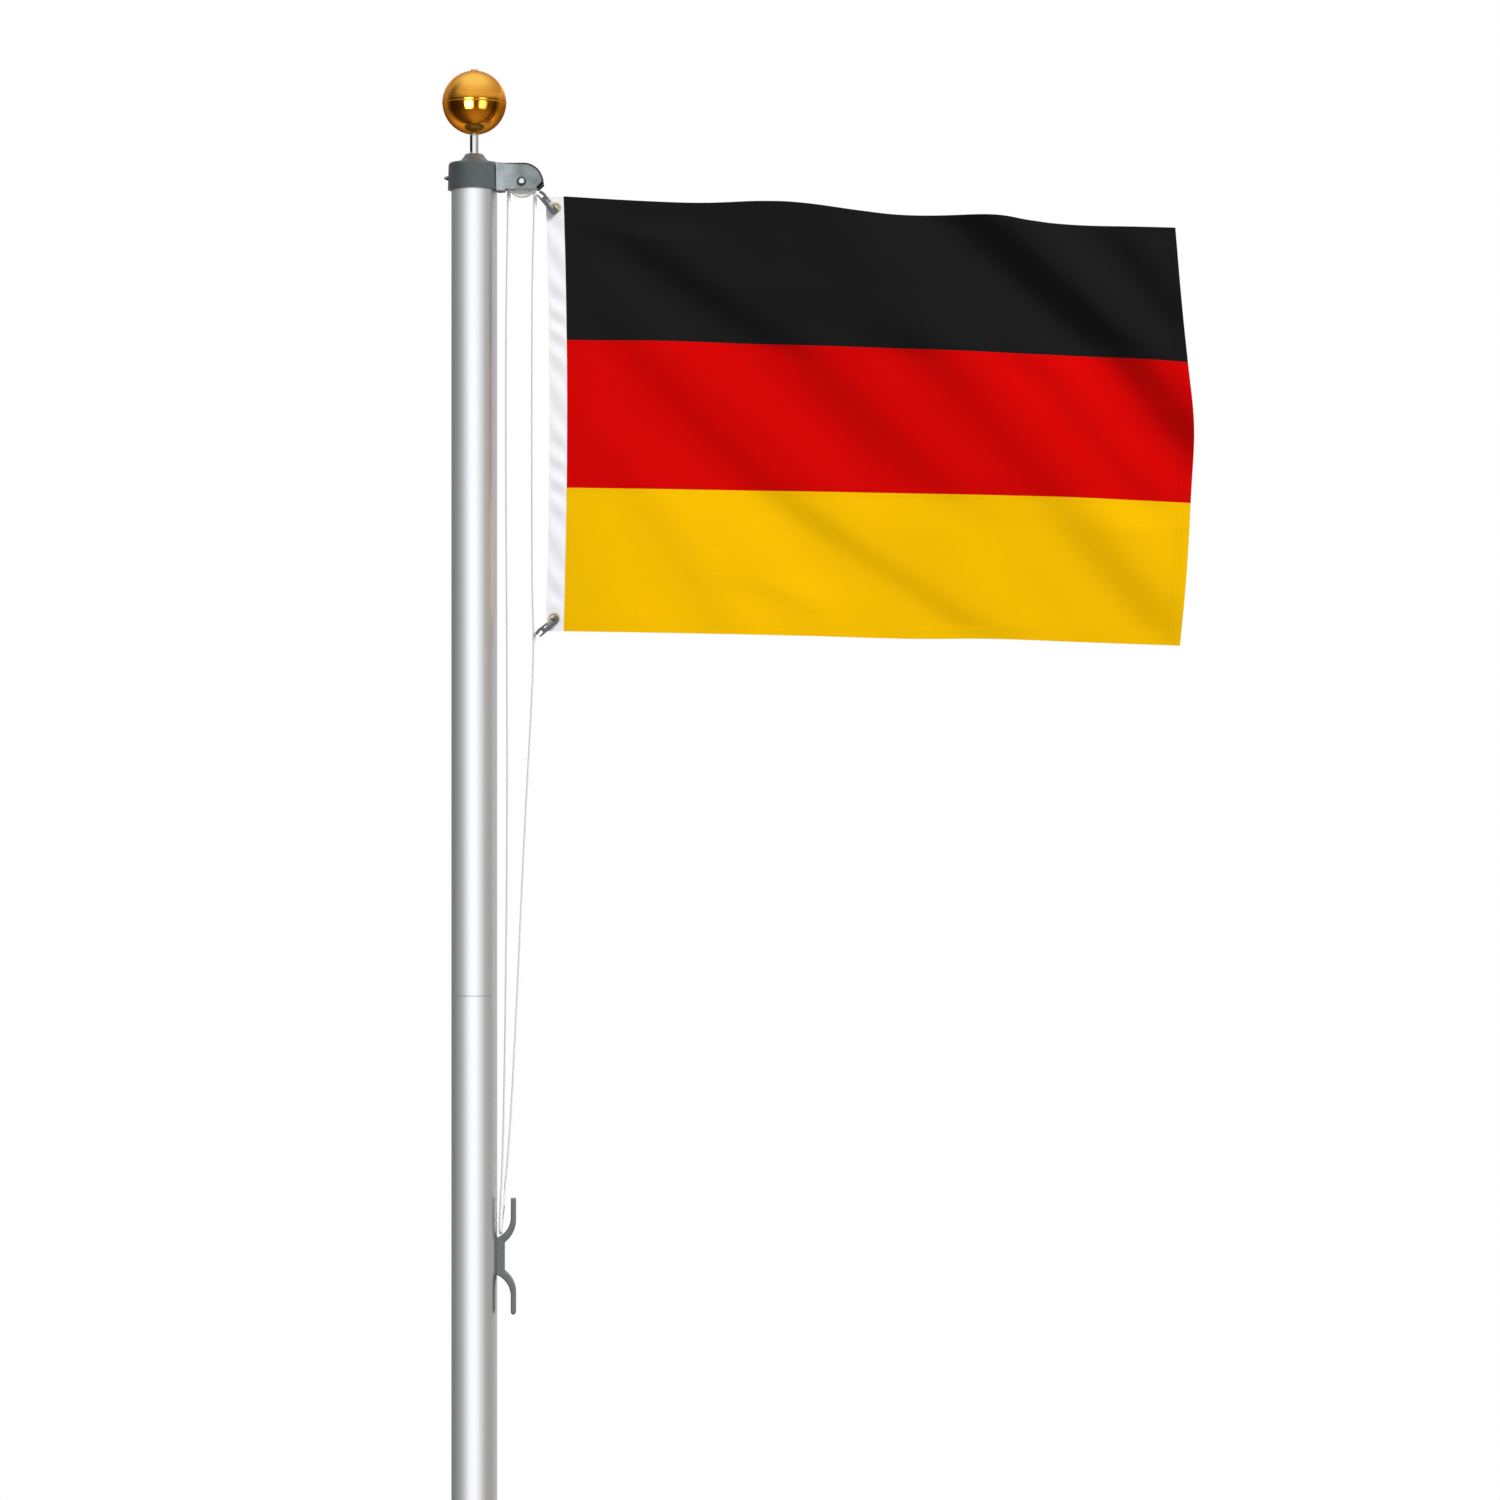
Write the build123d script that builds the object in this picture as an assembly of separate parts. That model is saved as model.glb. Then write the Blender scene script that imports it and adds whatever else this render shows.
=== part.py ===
from build123d import *
import math
import os

# Flagpole from ground level up: a sectional aluminium pole with a ball finial, a cast
# truck with a rope sheave, a rope halyard, a horn cleat and a three-stripe flag that
# hangs from the halyard on two snap clips.
# Millimetres. +Z is up and the origin is the centre of the pole's foot on the ground.
# The flag flies towards +X, and the photograph looks along +Y.

# How far a cutter passes the face that it cuts
overshoot = 20.0

# Pole
pole_diameter = 63.5
pole_wall = 1.6
section_length = 1147.0
foot_to_first_seam = 621.0
spigot_length = 150.0
spigot_clearance = 0.25
swage_length = 8.0
seam_chamfer = 0.9

# Truck: the cap on the pole's top and the arm that carries the sheave
cap_clearance = 0.2
cap_wall_top = 3.55
cap_draft = 1.1
cap_height = 38.0
cap_roof = 6.0
cap_shoulder = 5.0
boss_height = 12.0
boss_top_radius = 12.2
boss_waist_radius = 16.0
boss_foot_radius = 22.0
arm_width = 24.0
arm_cheek = 4.0
arm_web = 3.6
arm_height = 36.2
arm_top_drop = 1.3
arm_end_x = 96.0
arm_round = 27.4
arm_chamfer = 8.0
arm_root_x = 43.0
arm_root_width = 42.0
arm_root_depth = 12.0
arm_spread_depth = 5.0
arm_lip = 2.4
truck_gap = 0.05
set_screw_diameter = 5.0
set_screw_head = 7.0
set_screw_reach = 5.0
set_screw_drop = 21.5

# Sheave and its pin
sheave_x = 66.0
sheave_drop = 27.0
sheave_radius = 21.0
sheave_rim_width = 13.0
sheave_hub_radius = 9.0
sheave_side_clearance = 0.4
groove_clearance = 0.3
rope_seat_depth = 2.9
pin_diameter = 8.0
pin_running_clearance = 0.08
pin_head_diameter = 13.0
pin_head_height = 2.0

# Finial
spindle_diameter = 12.0
spindle_showing = 27.0
spindle_in_ball = 16.0
spindle_clearance = 0.05
ball_radius = 44.2
ball_wall = 1.2
ball_bush_radius = 10.0
ball_bush_height = 7.0
seam_bead_radius = 1.0
top_plug_diameter = 11.5
top_plug_stem = 8.0
top_plug_rise = 1.8
top_plug_seat_depth = 3.0

# Halyard
rope_diameter = 5.2
rope_join_gap = 0.3
bight_radius = 5.2
bight_x = 36.6
bight_above_cleat = 37.8
bight_lead_front = 14.0
bight_lead_back = 9.0
sheave_lead_up = 44.0
sheave_lead_down = 50.0
clip_lead_up = 14.0
clip_lead_down = 30.0
rope_bow = 6.0
split_below_sheave = 14.0
lower_clip_rope_x = 83.2
lower_clip_rope_below_flag = 10.3

# Cleat
cleat_z = 1406.7
cleat_length = 160.6
cleat_width = 16.0
cleat_neck_depth = 10.4
cleat_neck_half = 19.5
horn_reach = 26.0
horn_thickness = 7.0
horn_straight = 25.3
horn_edge_round = 2.2
neck_hollow_round = 3.0
cleat_seat_gap = 0.05
cleat_saddle_depth = 2.0
cleat_foot_flare = 5.1
horn_bend_step = 5.0
cleat_screw_spacing = 22.0
cleat_screw_diameter = 4.6
cleat_screw_head = 8.4
cleat_screw_head_height = 3.0
cleat_screw_inset = 0.6
cleat_screw_clearance = 0.15
cleat_screw_inside = 4.0

# Snap clips
clip_thickness = 5.0
clip_edge = 0.5
clip_tip_radius = 1.6
clip_tip_past_cloth = 3.0
clip_seat_gap = 0.3
clip_tip_u = 29.2
clip_tip_v = 7.1
upper_clip_shift_x = -0.3
upper_clip_shift_z = -0.8
lower_clip_shift_x = -1.8
lower_clip_shift_z = -1.4
upper_clip_turn = -50.0
lower_clip_turn = 40.0

# Flag: a white header with a grommet at each corner, and three sewn stripes
cloth_thickness = 2.0
header_left_x = 100.0
header_width = 24.6
hoist_bow = 5.0
flag_below_cap_top = 47.0
flag_height = 601.7
flag_fly = 865.4
grommet_radius = 7.8
grommet_hole = 4.3
grommet_barrel = 1.2
grommet_rim = 0.9
upper_grommet_x = 112.4
upper_grommet_drop = 15.2
lower_grommet_x = 110.6
lower_grommet_rise = 18.3
wave_length = 236.0
wave_height = 5.0
wave_growth = 9.0
wave_lean = 0.9

# Places worked out from the sizes above
pole_radius = pole_diameter / 2
bore_radius = pole_radius - pole_wall
spigot_radius = bore_radius - spigot_clearance
first_seam_z = foot_to_first_seam
second_seam_z = first_seam_z + section_length
pole_top_z = second_seam_z + section_length
cap_top_z = pole_top_z + cap_roof
cap_foot_z = cap_top_z - cap_height
cap_bore_radius = pole_radius + cap_clearance
cap_top_radius = cap_bore_radius + cap_wall_top
cap_foot_radius = cap_top_radius + cap_draft
boss_top_z = cap_top_z + boss_height
spindle_radius = spindle_diameter / 2
ball_z = boss_top_z + spindle_showing + ball_radius
arm_top_z = cap_top_z - arm_top_drop
arm_foot_z = arm_top_z - arm_height
sheave_z = cap_top_z - sheave_drop
rope_radius = rope_diameter / 2
groove_radius = sheave_radius - rope_seat_depth
rope_up_x = sheave_x - groove_radius
rope_down_x = sheave_x + groove_radius
pin_radius = pin_diameter / 2
neck_face_x = pole_radius + cleat_neck_depth
horn_outer_x = pole_radius + horn_reach
horn_inner_x = horn_outer_x - horn_thickness
set_screw_z = cap_top_z - set_screw_drop
bight_z = cleat_z + bight_above_cleat
flag_top_z = cap_top_z - flag_below_cap_top
flag_bottom_z = flag_top_z - flag_height
header_right_x = header_left_x + header_width
upper_grommet_at = (upper_grommet_x, flag_top_z - upper_grommet_drop)
lower_grommet_at = (lower_grommet_x, flag_bottom_z + lower_grommet_rise)
upper_clip_at = (upper_grommet_at[0] + upper_clip_shift_x, upper_grommet_at[1] + upper_clip_shift_z)
lower_clip_at = (lower_grommet_at[0] + lower_clip_shift_x, lower_grommet_at[1] + lower_clip_shift_z)
lower_clip_rope_z = flag_bottom_z - lower_clip_rope_below_flag


def turned(*profile):
    """Turn a closed profile of (radius, height) points about the pole's axis."""
    return revolve(Plane.XZ * make_face(Polyline(*profile, close=True)), Axis.Z)


def slab(face, low_y, high_y):
    """Carry a flat face, drawn in X and Z, from low_y to high_y."""
    back = Plane(origin=(0, high_y, 0), x_dir=(1, 0, 0), z_dir=(0, -1, 0))
    return extrude(back * face, amount=high_y - low_y)


def plate(edges, low_y, high_y):
    """Cut a plate with an outline in X and Z from low_y to high_y."""
    return slab(make_face(edges), low_y, high_y)


def eased(face, size):
    """Round every corner of a flat face, inner and outer, without changing its width."""
    filled = offset(offset(face, size, kind=Kind.ARC), -size, kind=Kind.ARC)
    return offset(offset(filled, -size, kind=Kind.ARC), size, kind=Kind.ARC)


def rod_along_y(x, z, radius, low_y, high_y):
    """A round rod along Y."""
    back = Plane(origin=(x, high_y, z), x_dir=(1, 0, 0), z_dir=(0, -1, 0))
    return extrude(back * Circle(radius), amount=high_y - low_y)


def rod_along_x(y, z, radius, low_x, high_x):
    """A round rod along X."""
    start = Plane(origin=(low_x, y, z), x_dir=(0, 1, 0), z_dir=(1, 0, 0))
    return extrude(start * Circle(radius), amount=high_x - low_x)


def pole_section(foot_z, seam_z):
    """A tube with a swaged spigot that plugs into the next section up."""
    swage_z = seam_z - swage_length
    return turned(
        (bore_radius, foot_z),
        (pole_radius, foot_z),
        (pole_radius, seam_z - seam_chamfer),
        (pole_radius - seam_chamfer, seam_z),
        (spigot_radius, seam_z),
        (spigot_radius, seam_z + spigot_length),
        (spigot_radius - pole_wall, seam_z + spigot_length),
        (spigot_radius - pole_wall, seam_z),
        (bore_radius, swage_z),
    )


def top_section():
    """The plain upper tube, with its lower edge eased like the others."""
    return turned(
        (bore_radius, second_seam_z),
        (pole_radius - seam_chamfer / 2, second_seam_z),
        (pole_radius, second_seam_z + seam_chamfer / 2),
        (pole_radius, pole_top_z),
        (bore_radius, pole_top_z),
    )


def truck_cap():
    """A drafted collar over the pole's top with a cone boss for the spindle."""
    cap = turned(
        (spindle_radius + spindle_clearance, pole_top_z),
        (cap_bore_radius, pole_top_z),
        (cap_bore_radius, cap_foot_z),
        (cap_foot_radius, cap_foot_z),
        (cap_top_radius, cap_top_z),
        (boss_foot_radius, cap_top_z),
        (boss_waist_radius, cap_top_z + boss_height / 2),
        (boss_top_radius, boss_top_z),
        (spindle_radius + spindle_clearance, boss_top_z),
    )
    shoulder = cap.edges().filter_by(GeomType.CIRCLE).filter_by(
        lambda e: abs(e.radius - cap_top_radius) < 0.01 and abs(e.center().Z - cap_top_z) < 0.01)
    cap = fillet(shoulder, cap_shoulder)
    bore = rod_along_x(0, set_screw_z, set_screw_diameter / 2 + truck_gap, -cap_foot_radius - overshoot, 0)
    return cap - bore


def set_screw():
    """The side screw that grips the pole, with a low cone head."""
    tip_x = -(pole_radius + 0.1)
    head_x = -(cap_foot_radius + 0.1)
    shank = rod_along_x(0, set_screw_z, set_screw_diameter / 2, head_x, tip_x)
    seat = Plane(origin=(head_x, 0, set_screw_z), x_dir=(0, 1, 0), z_dir=(-1, 0, 0))
    head = extrude(seat * Circle(set_screw_head / 2), amount=set_screw_reach, taper=24)
    return shank + head


def arm_outline(start_x, foot, inset, nose_cut):
    """The arm seen from the side: a flat top, a round nose that is cut back at the foot, and a flat foot."""
    top = arm_top_z - inset
    end = arm_end_x - inset
    turn = arm_round - inset
    nose_z = arm_top_z - arm_round
    diagonal = turn * math.sqrt(0.5)
    return [
        Line((start_x, foot), (start_x, top)),
        Line((start_x, top), (end - turn, top)),
        ThreePointArc((end - turn, top), (end - turn + diagonal, nose_z + diagonal), (end, nose_z)),
        Line((end, nose_z), (end - nose_cut, foot)),
        Line((end - nose_cut, foot), (start_x, foot)),
    ]


def truck_arm():
    """A channel, open below, whose root spreads to meet the cap's collar."""
    half = arm_width / 2
    body = plate(arm_outline(cap_bore_radius - arm_root_depth, arm_foot_z, 0, arm_chamfer), -half, half)
    spread = cap_bore_radius - arm_spread_depth
    root = Polyline((spread, -arm_root_width / 2), (arm_root_x, -half),
                    (arm_root_x, half), (spread, arm_root_width / 2), close=True)
    root_block = extrude(Plane.XY.offset(arm_foot_z - arm_lip) * make_face(root),
                         amount=arm_height + arm_lip)
    inner_half = half - arm_cheek
    pocket = plate(arm_outline(arm_root_x, arm_foot_z - overshoot, arm_web, 0), -inner_half, inner_half)
    below_z = cap_foot_z - overshoot
    collar = turned(
        (0, below_z),
        (cap_foot_radius + truck_gap + overshoot * cap_draft / cap_height, below_z),
        (cap_top_radius + truck_gap, cap_top_z),
        (0, cap_top_z),
    )
    pin_hole = rod_along_y(sheave_x, sheave_z, pin_radius + truck_gap, -arm_width, arm_width)
    return body + root_block - pocket - collar - pin_hole


def sheave():
    """A grooved wheel on a longer hub."""
    rim = rod_along_y(sheave_x, sheave_z, sheave_radius, -sheave_rim_width / 2, sheave_rim_width / 2)
    hub_half = arm_width / 2 - arm_cheek - sheave_side_clearance
    hub = rod_along_y(sheave_x, sheave_z, sheave_hub_radius, -hub_half, hub_half)
    axle = Axis((sheave_x, 0, sheave_z), (0, 1, 0))
    seat = rope_radius + groove_clearance
    side = Plane(origin=(sheave_x, 0, sheave_z), x_dir=(1, 0, 0), z_dir=(0, 0, 1))
    round_seat = side * Pos(groove_radius, 0) * Circle(seat)
    mouth = side * make_face(Polyline(
        (groove_radius, -seat), (sheave_radius + 1, -seat - 2),
        (sheave_radius + 1, seat + 2), (groove_radius, seat), close=True))
    groove = revolve(round_seat + mouth, axle)
    bore = rod_along_y(sheave_x, sheave_z, pin_radius + pin_running_clearance, -arm_width, arm_width)
    return rim + hub - groove - bore


def sheave_pin():
    """The pin through both cheeks, headed on each side."""
    half = arm_width / 2
    shaft = rod_along_y(sheave_x, sheave_z, pin_radius, -half - pin_head_height, half + pin_head_height)
    head = pin_head_diameter / 2
    front = rod_along_y(sheave_x, sheave_z, head, -half - pin_head_height, -half)
    back = rod_along_y(sheave_x, sheave_z, head, half, half + pin_head_height)
    pin = shaft + front + back
    rims = pin.edges().filter_by(GeomType.CIRCLE).filter_by(
        lambda e: abs(e.radius - head) < 0.01 and abs(abs(e.center().Y) - half - pin_head_height) < 0.01)
    return chamfer(rims, pin_head_height * 0.45)


def finial_spindle():
    """The plated rod from inside the truck's boss up into the ball."""
    low = pole_top_z
    high = boss_top_z + spindle_showing + spindle_in_ball
    return Pos(0, 0, (low + high) / 2) * Cylinder(spindle_radius, high - low)


def ball_half(upper):
    """One spun half of the hollow ball. The lower half carries the bush and the seam bead."""
    shell = Pos(0, 0, ball_z) * (Sphere(ball_radius) - Sphere(ball_radius - ball_wall))
    span = 2 * ball_radius + overshoot
    keep = Pos(0, 0, ball_z + (span / 2 if upper else -span / 2)) * Box(span, span, span)
    half = shell & keep
    if upper:
        hole = Pos(0, 0, ball_z + ball_radius) * Cylinder(top_plug_stem / 2 + spindle_clearance, overshoot)
        return half - hole
    bush_z = ball_z - ball_radius
    bush = Pos(0, 0, bush_z + ball_bush_height / 2 + ball_wall) * Cylinder(ball_bush_radius, ball_bush_height)
    inside = Pos(0, 0, ball_z) * Sphere(ball_radius - ball_wall / 2)
    bead = Pos(0, 0, ball_z) * Torus(ball_radius - seam_bead_radius / 2, seam_bead_radius)
    below = Pos(0, 0, ball_z - span / 2) * Box(span, span, span)
    bead = (bead & below) - Pos(0, 0, ball_z) * Sphere(ball_radius - ball_wall / 2)
    way = Pos(0, 0, bush_z) * Cylinder(spindle_radius + spindle_clearance, 3 * overshoot)
    return half + (bush & inside) + bead - way


def top_plug():
    """The small flat plug that closes the ball's top."""
    top = ball_z + ball_radius + top_plug_rise
    head_height = top_plug_rise + top_plug_seat_depth
    head = Pos(0, 0, top - head_height / 2) * Cylinder(top_plug_diameter / 2, head_height)
    head = head - Pos(0, 0, ball_z) * Sphere(ball_radius + 0.02)
    stem = Pos(0, 0, top - top_plug_stem / 2) * Cylinder(top_plug_stem / 2, top_plug_stem)
    return head + stem


def arc_radii(points):
    """Each corner's arc, as large as its two runs allow."""
    radii = []
    for before, at, after in zip(points, points[1:], points[2:]):
        run_in = Vector(*at) - Vector(*before)
        run_out = Vector(*after) - Vector(*at)
        half_turn = math.radians(run_in.get_angle(run_out)) / 2
        radii.append(0.45 * min(run_in.length, run_out.length) / math.tan(half_turn))
    return radii


def rope(name, edges):
    """A rope's round section carried along a path, with its length printed."""
    path = Wire(edges)
    start = Plane(origin=path.position_at(0), z_dir=path.tangent_at(0))
    solid = sweep(start * Circle(rope_radius), path=path)
    expected = math.pi * rope_radius ** 2 * path.length
    print(name, "length", round(path.length, 1), "volume ratio", round(solid.volume / expected, 4))
    return solid


def between(start, end, bows):
    """Places on the way from start to end. Each (share, bow) is a share of the way, and how far the rope
    bows off the straight line in X as a part of rope_bow."""
    places = []
    for share, bow in bows:
        place = [low + (high - low) * share for low, high in zip(start, end)]
        place[0] += rope_bow * bow
        places.append(tuple(place))
    return places


def routed(name, points):
    """The edges of a route of straight runs and tangent arcs."""
    radii = arc_radii(points)
    print(name, "radii", [round(r) for r in radii])
    return FilletPolyline(*points, radius=radii).edges()


def halyard_fall():
    """The standing rope: the bight in the cleat's upper crotch, the fall and the turn over the sheave."""
    front_y = -bight_radius
    bight_end = (bight_x, front_y, bight_z)
    sheave_in = (rope_up_x, 0, sheave_z)
    bows = [(0.0636, 0.61), (0.2185, 1.02), (0.4232, 1.0), (0.5581, 0.62), (0.7275, 0.06), (0.8866, -0.18)]
    fall = [
        bight_end,
        (bight_x, front_y, bight_z + bight_lead_front),
        *between(bight_end, sheave_in, bows),
        (rope_up_x, 0, sheave_z - sheave_lead_up),
        sheave_in,
    ]
    bight = ThreePointArc((bight_x, bight_radius, bight_z), (bight_x, 0, bight_z - bight_radius),
                          (bight_x, front_y, bight_z))
    turn = ThreePointArc(sheave_in, (sheave_x, 0, sheave_z + groove_radius), (rope_down_x, 0, sheave_z))
    return rope("halyard_fall", [bight] + list(routed("halyard_fall", fall)) + [turn])


def halyard_upper_run():
    """The short piece from the sheave down to where the flag's own run begins."""
    low = sheave_z - split_below_sheave + rope_join_gap
    return rope("halyard_upper_run", [Line((rope_down_x, 0, sheave_z), (rope_down_x, 0, low))])


def halyard_middle_run():
    """The run that the two clips hold and that travels with the flag."""
    foot = (lower_clip_rope_x, 0, lower_clip_rope_z)
    top = (rope_down_x, 0, sheave_z)
    return rope("halyard_middle_run", list(routed("halyard_middle_run", [
        foot,
        (lower_clip_rope_x, 0, lower_clip_rope_z + clip_lead_up),
        *between(foot, top, [(0.1234, -0.34), (0.4715, -0.44), (0.7959, -0.4)]),
        (rope_down_x, 0, sheave_z - sheave_lead_down),
        (rope_down_x, 0, sheave_z - split_below_sheave),
    ])))


def halyard_lower_run():
    """The run from the bight at the cleat up to the lower clip."""
    foot = (bight_x, bight_radius, bight_z)
    top = (lower_clip_rope_x, 0, lower_clip_rope_z)
    return rope("halyard_lower_run", list(routed("halyard_lower_run", [
        foot,
        (bight_x, bight_radius, bight_z + bight_lead_back),
        *between(foot, top, [(0.113, 1.1), (0.3882, 0.95), (0.6314, 0.5), (0.887, 0.44)]),
        (lower_clip_rope_x, 0, lower_clip_rope_z - clip_lead_down),
        (lower_clip_rope_x, 0, lower_clip_rope_z - rope_join_gap),
    ])))


def cleat():
    """Two curved horns on a neck that is saddled to the pole, with two screw holes."""
    half = cleat_length / 2
    inner_bend = half - horn_straight
    outer_bend = inner_bend - horn_bend_step
    deep = pole_radius - cleat_saddle_depth
    foot = cleat_neck_half + cleat_foot_flare
    tip = horn_thickness / 2
    body = plate([
        Line((deep, -foot), (deep, foot)),
        TangentArc((horn_inner_x, inner_bend), (deep, foot), tangent=(0, -1)),
        Line((horn_inner_x, inner_bend), (horn_inner_x, half)),
        Line((horn_inner_x, half), (horn_outer_x, half)),
        Line((horn_outer_x, half), (horn_outer_x, outer_bend)),
        TangentArc((horn_outer_x, outer_bend), (neck_face_x, cleat_neck_half), tangent=(0, -1)),
        Line((neck_face_x, cleat_neck_half), (neck_face_x, -cleat_neck_half)),
        TangentArc((horn_outer_x, -outer_bend), (neck_face_x, -cleat_neck_half), tangent=(0, 1)),
        Line((horn_outer_x, -outer_bend), (horn_outer_x, -half + tip)),
        ThreePointArc((horn_outer_x, -half + tip), (horn_outer_x - tip, -half), (horn_inner_x, -half + tip)),
        Line((horn_inner_x, -half + tip), (horn_inner_x, -inner_bend)),
        TangentArc((horn_inner_x, -inner_bend), (deep, -foot), tangent=(0, 1)),
    ], -cleat_width / 2, cleat_width / 2)
    hollows = body.edges().filter_by(Axis.Y).filter_by(lambda e: abs(e.center().X - neck_face_x) < 0.1)
    body = fillet(hollows, neck_hollow_round)
    faces = body.faces().sort_by(Axis.Y)
    body = fillet(faces[0].edges() + faces[-1].edges(), horn_edge_round)
    body = Pos(0, 0, cleat_z) * body
    pole = Pos(0, 0, cleat_z) * Cylinder(pole_radius + cleat_seat_gap, cleat_length * 2)
    body = body - pole
    for z in cleat_screw_heights():
        hole = rod_along_x(0, z, cleat_screw_diameter / 2 + cleat_screw_clearance, 0, neck_face_x + 1)
        recess_x = neck_face_x - cleat_screw_inset - cleat_screw_head_height
        recess = rod_along_x(0, z, cleat_screw_head / 2 + cleat_screw_clearance, recess_x, neck_face_x + 1)
        body = body - hole - recess
    return body


def cleat_screw_heights():
    """The heights of the cleat's two screws, lower first."""
    return [cleat_z - cleat_screw_spacing / 2, cleat_z + cleat_screw_spacing / 2]


def cleat_screw(z):
    """A domed screw, its head sunk in the neck's face and its shank through the pole's wall."""
    face_x = neck_face_x - cleat_screw_inset
    seat_x = face_x - cleat_screw_head_height
    shank = rod_along_x(0, z, cleat_screw_diameter / 2, bore_radius - cleat_screw_inside, seat_x)
    head = rod_along_x(0, z, cleat_screw_head / 2, seat_x, face_x)
    rim = head.edges().filter_by(GeomType.CIRCLE).sort_by(Axis.X)[-1]
    return shank + fillet(rim, cleat_screw_head_height * 0.45)


def cleat_screw_holes():
    """What the cleat's screws take out of the pole's wall."""
    low, high = cleat_screw_heights()
    size = cleat_screw_diameter / 2 + cleat_screw_clearance
    return rod_along_x(0, low, size, 0, pole_radius + 1) + rod_along_x(0, high, size, 0, pole_radius + 1)


def clip_outline():
    """A snap clip seen flat: a fork for the rope, a spring tongue and a hook for the grommet."""
    return [
        Line((0.4, -1.25), (31.4, -1.35)),
        ThreePointArc((31.4, -1.35), (36.4, 3.65), (31.4, 8.65)),
        Line((31.4, 8.65), (27.1, 8.65)),
        ThreePointArc((27.1, 8.65), (25.55, 7.1), (27.1, 5.55)),
        Line((27.1, 5.55), (30.6, 5.55)),
        ThreePointArc((30.6, 5.55), (31.65, 4.5), (30.6, 3.45)),
        Line((30.6, 3.45), (24.0, 3.3)),
        Line((24.0, 3.3), (13.4, 4.2)),
        ThreePointArc((13.4, 4.2), (12.3, 5.25), (13.3, 6.3)),
        Line((13.3, 6.3), (18.7, 6.6)),
        ThreePointArc((18.7, 6.6), (19.6, 7.55), (18.7, 8.5)),
        Line((18.7, 8.5), (8.4, 8.9)),
        ThreePointArc((8.4, 8.9), (3.2, 9.0), (-0.9, 7.6)),
        ThreePointArc((-0.9, 7.6), (-2.1, 5.8), (-1.5, 4.3)),
        ThreePointArc((-1.5, 4.3), (-0.6, 3.6), (0.3, 4.2)),
        Line((0.3, 4.2), (3.5, 5.0)),
        ThreePointArc((3.5, 5.0), (7.3, 3.2), (4.5, 1.1)),
        Line((4.5, 1.1), (0.5, 0.85)),
        ThreePointArc((0.5, 0.85), (-0.55, -0.25), (0.4, -1.25)),
    ]


def snap_clip(hook_at, turn):
    """A clip whose hooked tip passes back through a grommet at hook_at."""
    back_y = -(cloth_thickness / 2 + grommet_rim + clip_seat_gap)
    flat = slab(eased(make_face(clip_outline()), clip_edge), back_y - clip_thickness, back_y)
    faces = flat.faces().sort_by(Axis.Y)
    flat = fillet(faces[0].edges() + faces[-1].edges(), clip_edge)
    tip = rod_along_y(clip_tip_u, clip_tip_v, clip_tip_radius,
                      back_y - clip_thickness / 2, cloth_thickness / 2 + clip_tip_past_cloth)
    lean = Rot(0, -turn, 0)
    place = Pos(hook_at[0], 0, hook_at[1]) * lean * Pos(-clip_tip_u, 0, -clip_tip_v)
    return place * (flat + tip)


def grommet(at):
    """A pressed ring that grips the header on both faces."""
    low = -(cloth_thickness / 2 + grommet_rim)
    ring = rod_along_y(at[0], at[1], grommet_radius, low, -low)
    rims = ring.edges().filter_by(GeomType.CIRCLE)
    ring = fillet(rims, grommet_rim * 0.9)
    slit = rod_along_y(at[0], at[1], grommet_radius + 1, -cloth_thickness / 2, cloth_thickness / 2)
    barrel = rod_along_y(at[0], at[1], grommet_hole + grommet_barrel, -cloth_thickness, cloth_thickness)
    hole = rod_along_y(at[0], at[1], grommet_hole, low - 1, 1 - low)
    return ring - (slit - barrel) - hole


def hoist_edge(x):
    """The bowed line of the header's left or right edge, from bottom to top."""
    middle_z = (flag_top_z + flag_bottom_z) / 2
    return ThreePointArc((x, flag_bottom_z), (x + hoist_bow, middle_z), (x, flag_top_z))


def flag_header():
    """The header band, with its two grommet holes."""
    band = plate([
        hoist_edge(header_left_x),
        Line((header_left_x, flag_top_z), (header_right_x, flag_top_z)),
        hoist_edge(header_right_x),
        Line((header_right_x, flag_bottom_z), (header_left_x, flag_bottom_z)),
    ], -cloth_thickness / 2, cloth_thickness / 2)
    for at in (upper_grommet_at, lower_grommet_at):
        band = band - rod_along_y(at[0], at[1], grommet_hole + grommet_barrel, -overshoot, overshoot)
    return band


def waving_cloth():
    """A wavy band of cloth whose folds lean down towards the fly."""
    half_wave = wave_length / 2
    top = flag_top_z + overshoot
    points = []
    for step in range(-5, 10):
        swell = wave_height + wave_growth * max(0, step) / 9
        points.append((step * half_wave, -swell * (-1) ** step))
    front = Spline(*[(x, y - cloth_thickness / 2) for x, y in points])
    back = Spline(*[(x, y + cloth_thickness / 2) for x, y in points])
    band = make_face([front, back, Line(front @ 0, back @ 0), Line(front @ 1, back @ 1)])
    drop = flag_height + 4 * overshoot
    lean = Vector(wave_lean, 0, -1) * drop
    return extrude(Plane.XY.offset(top) * band, amount=lean.length, dir=lean.normalized())


def border(level, places):
    """A border of a stripe from hoist to fly. Places are shares of the fly and of the flag's height."""
    line = [(header_right_x, flag_bottom_z + flag_height * level)]
    for along, up in places:
        line.append((header_right_x + flag_fly * along, flag_bottom_z + flag_height * up))
    return line


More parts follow.
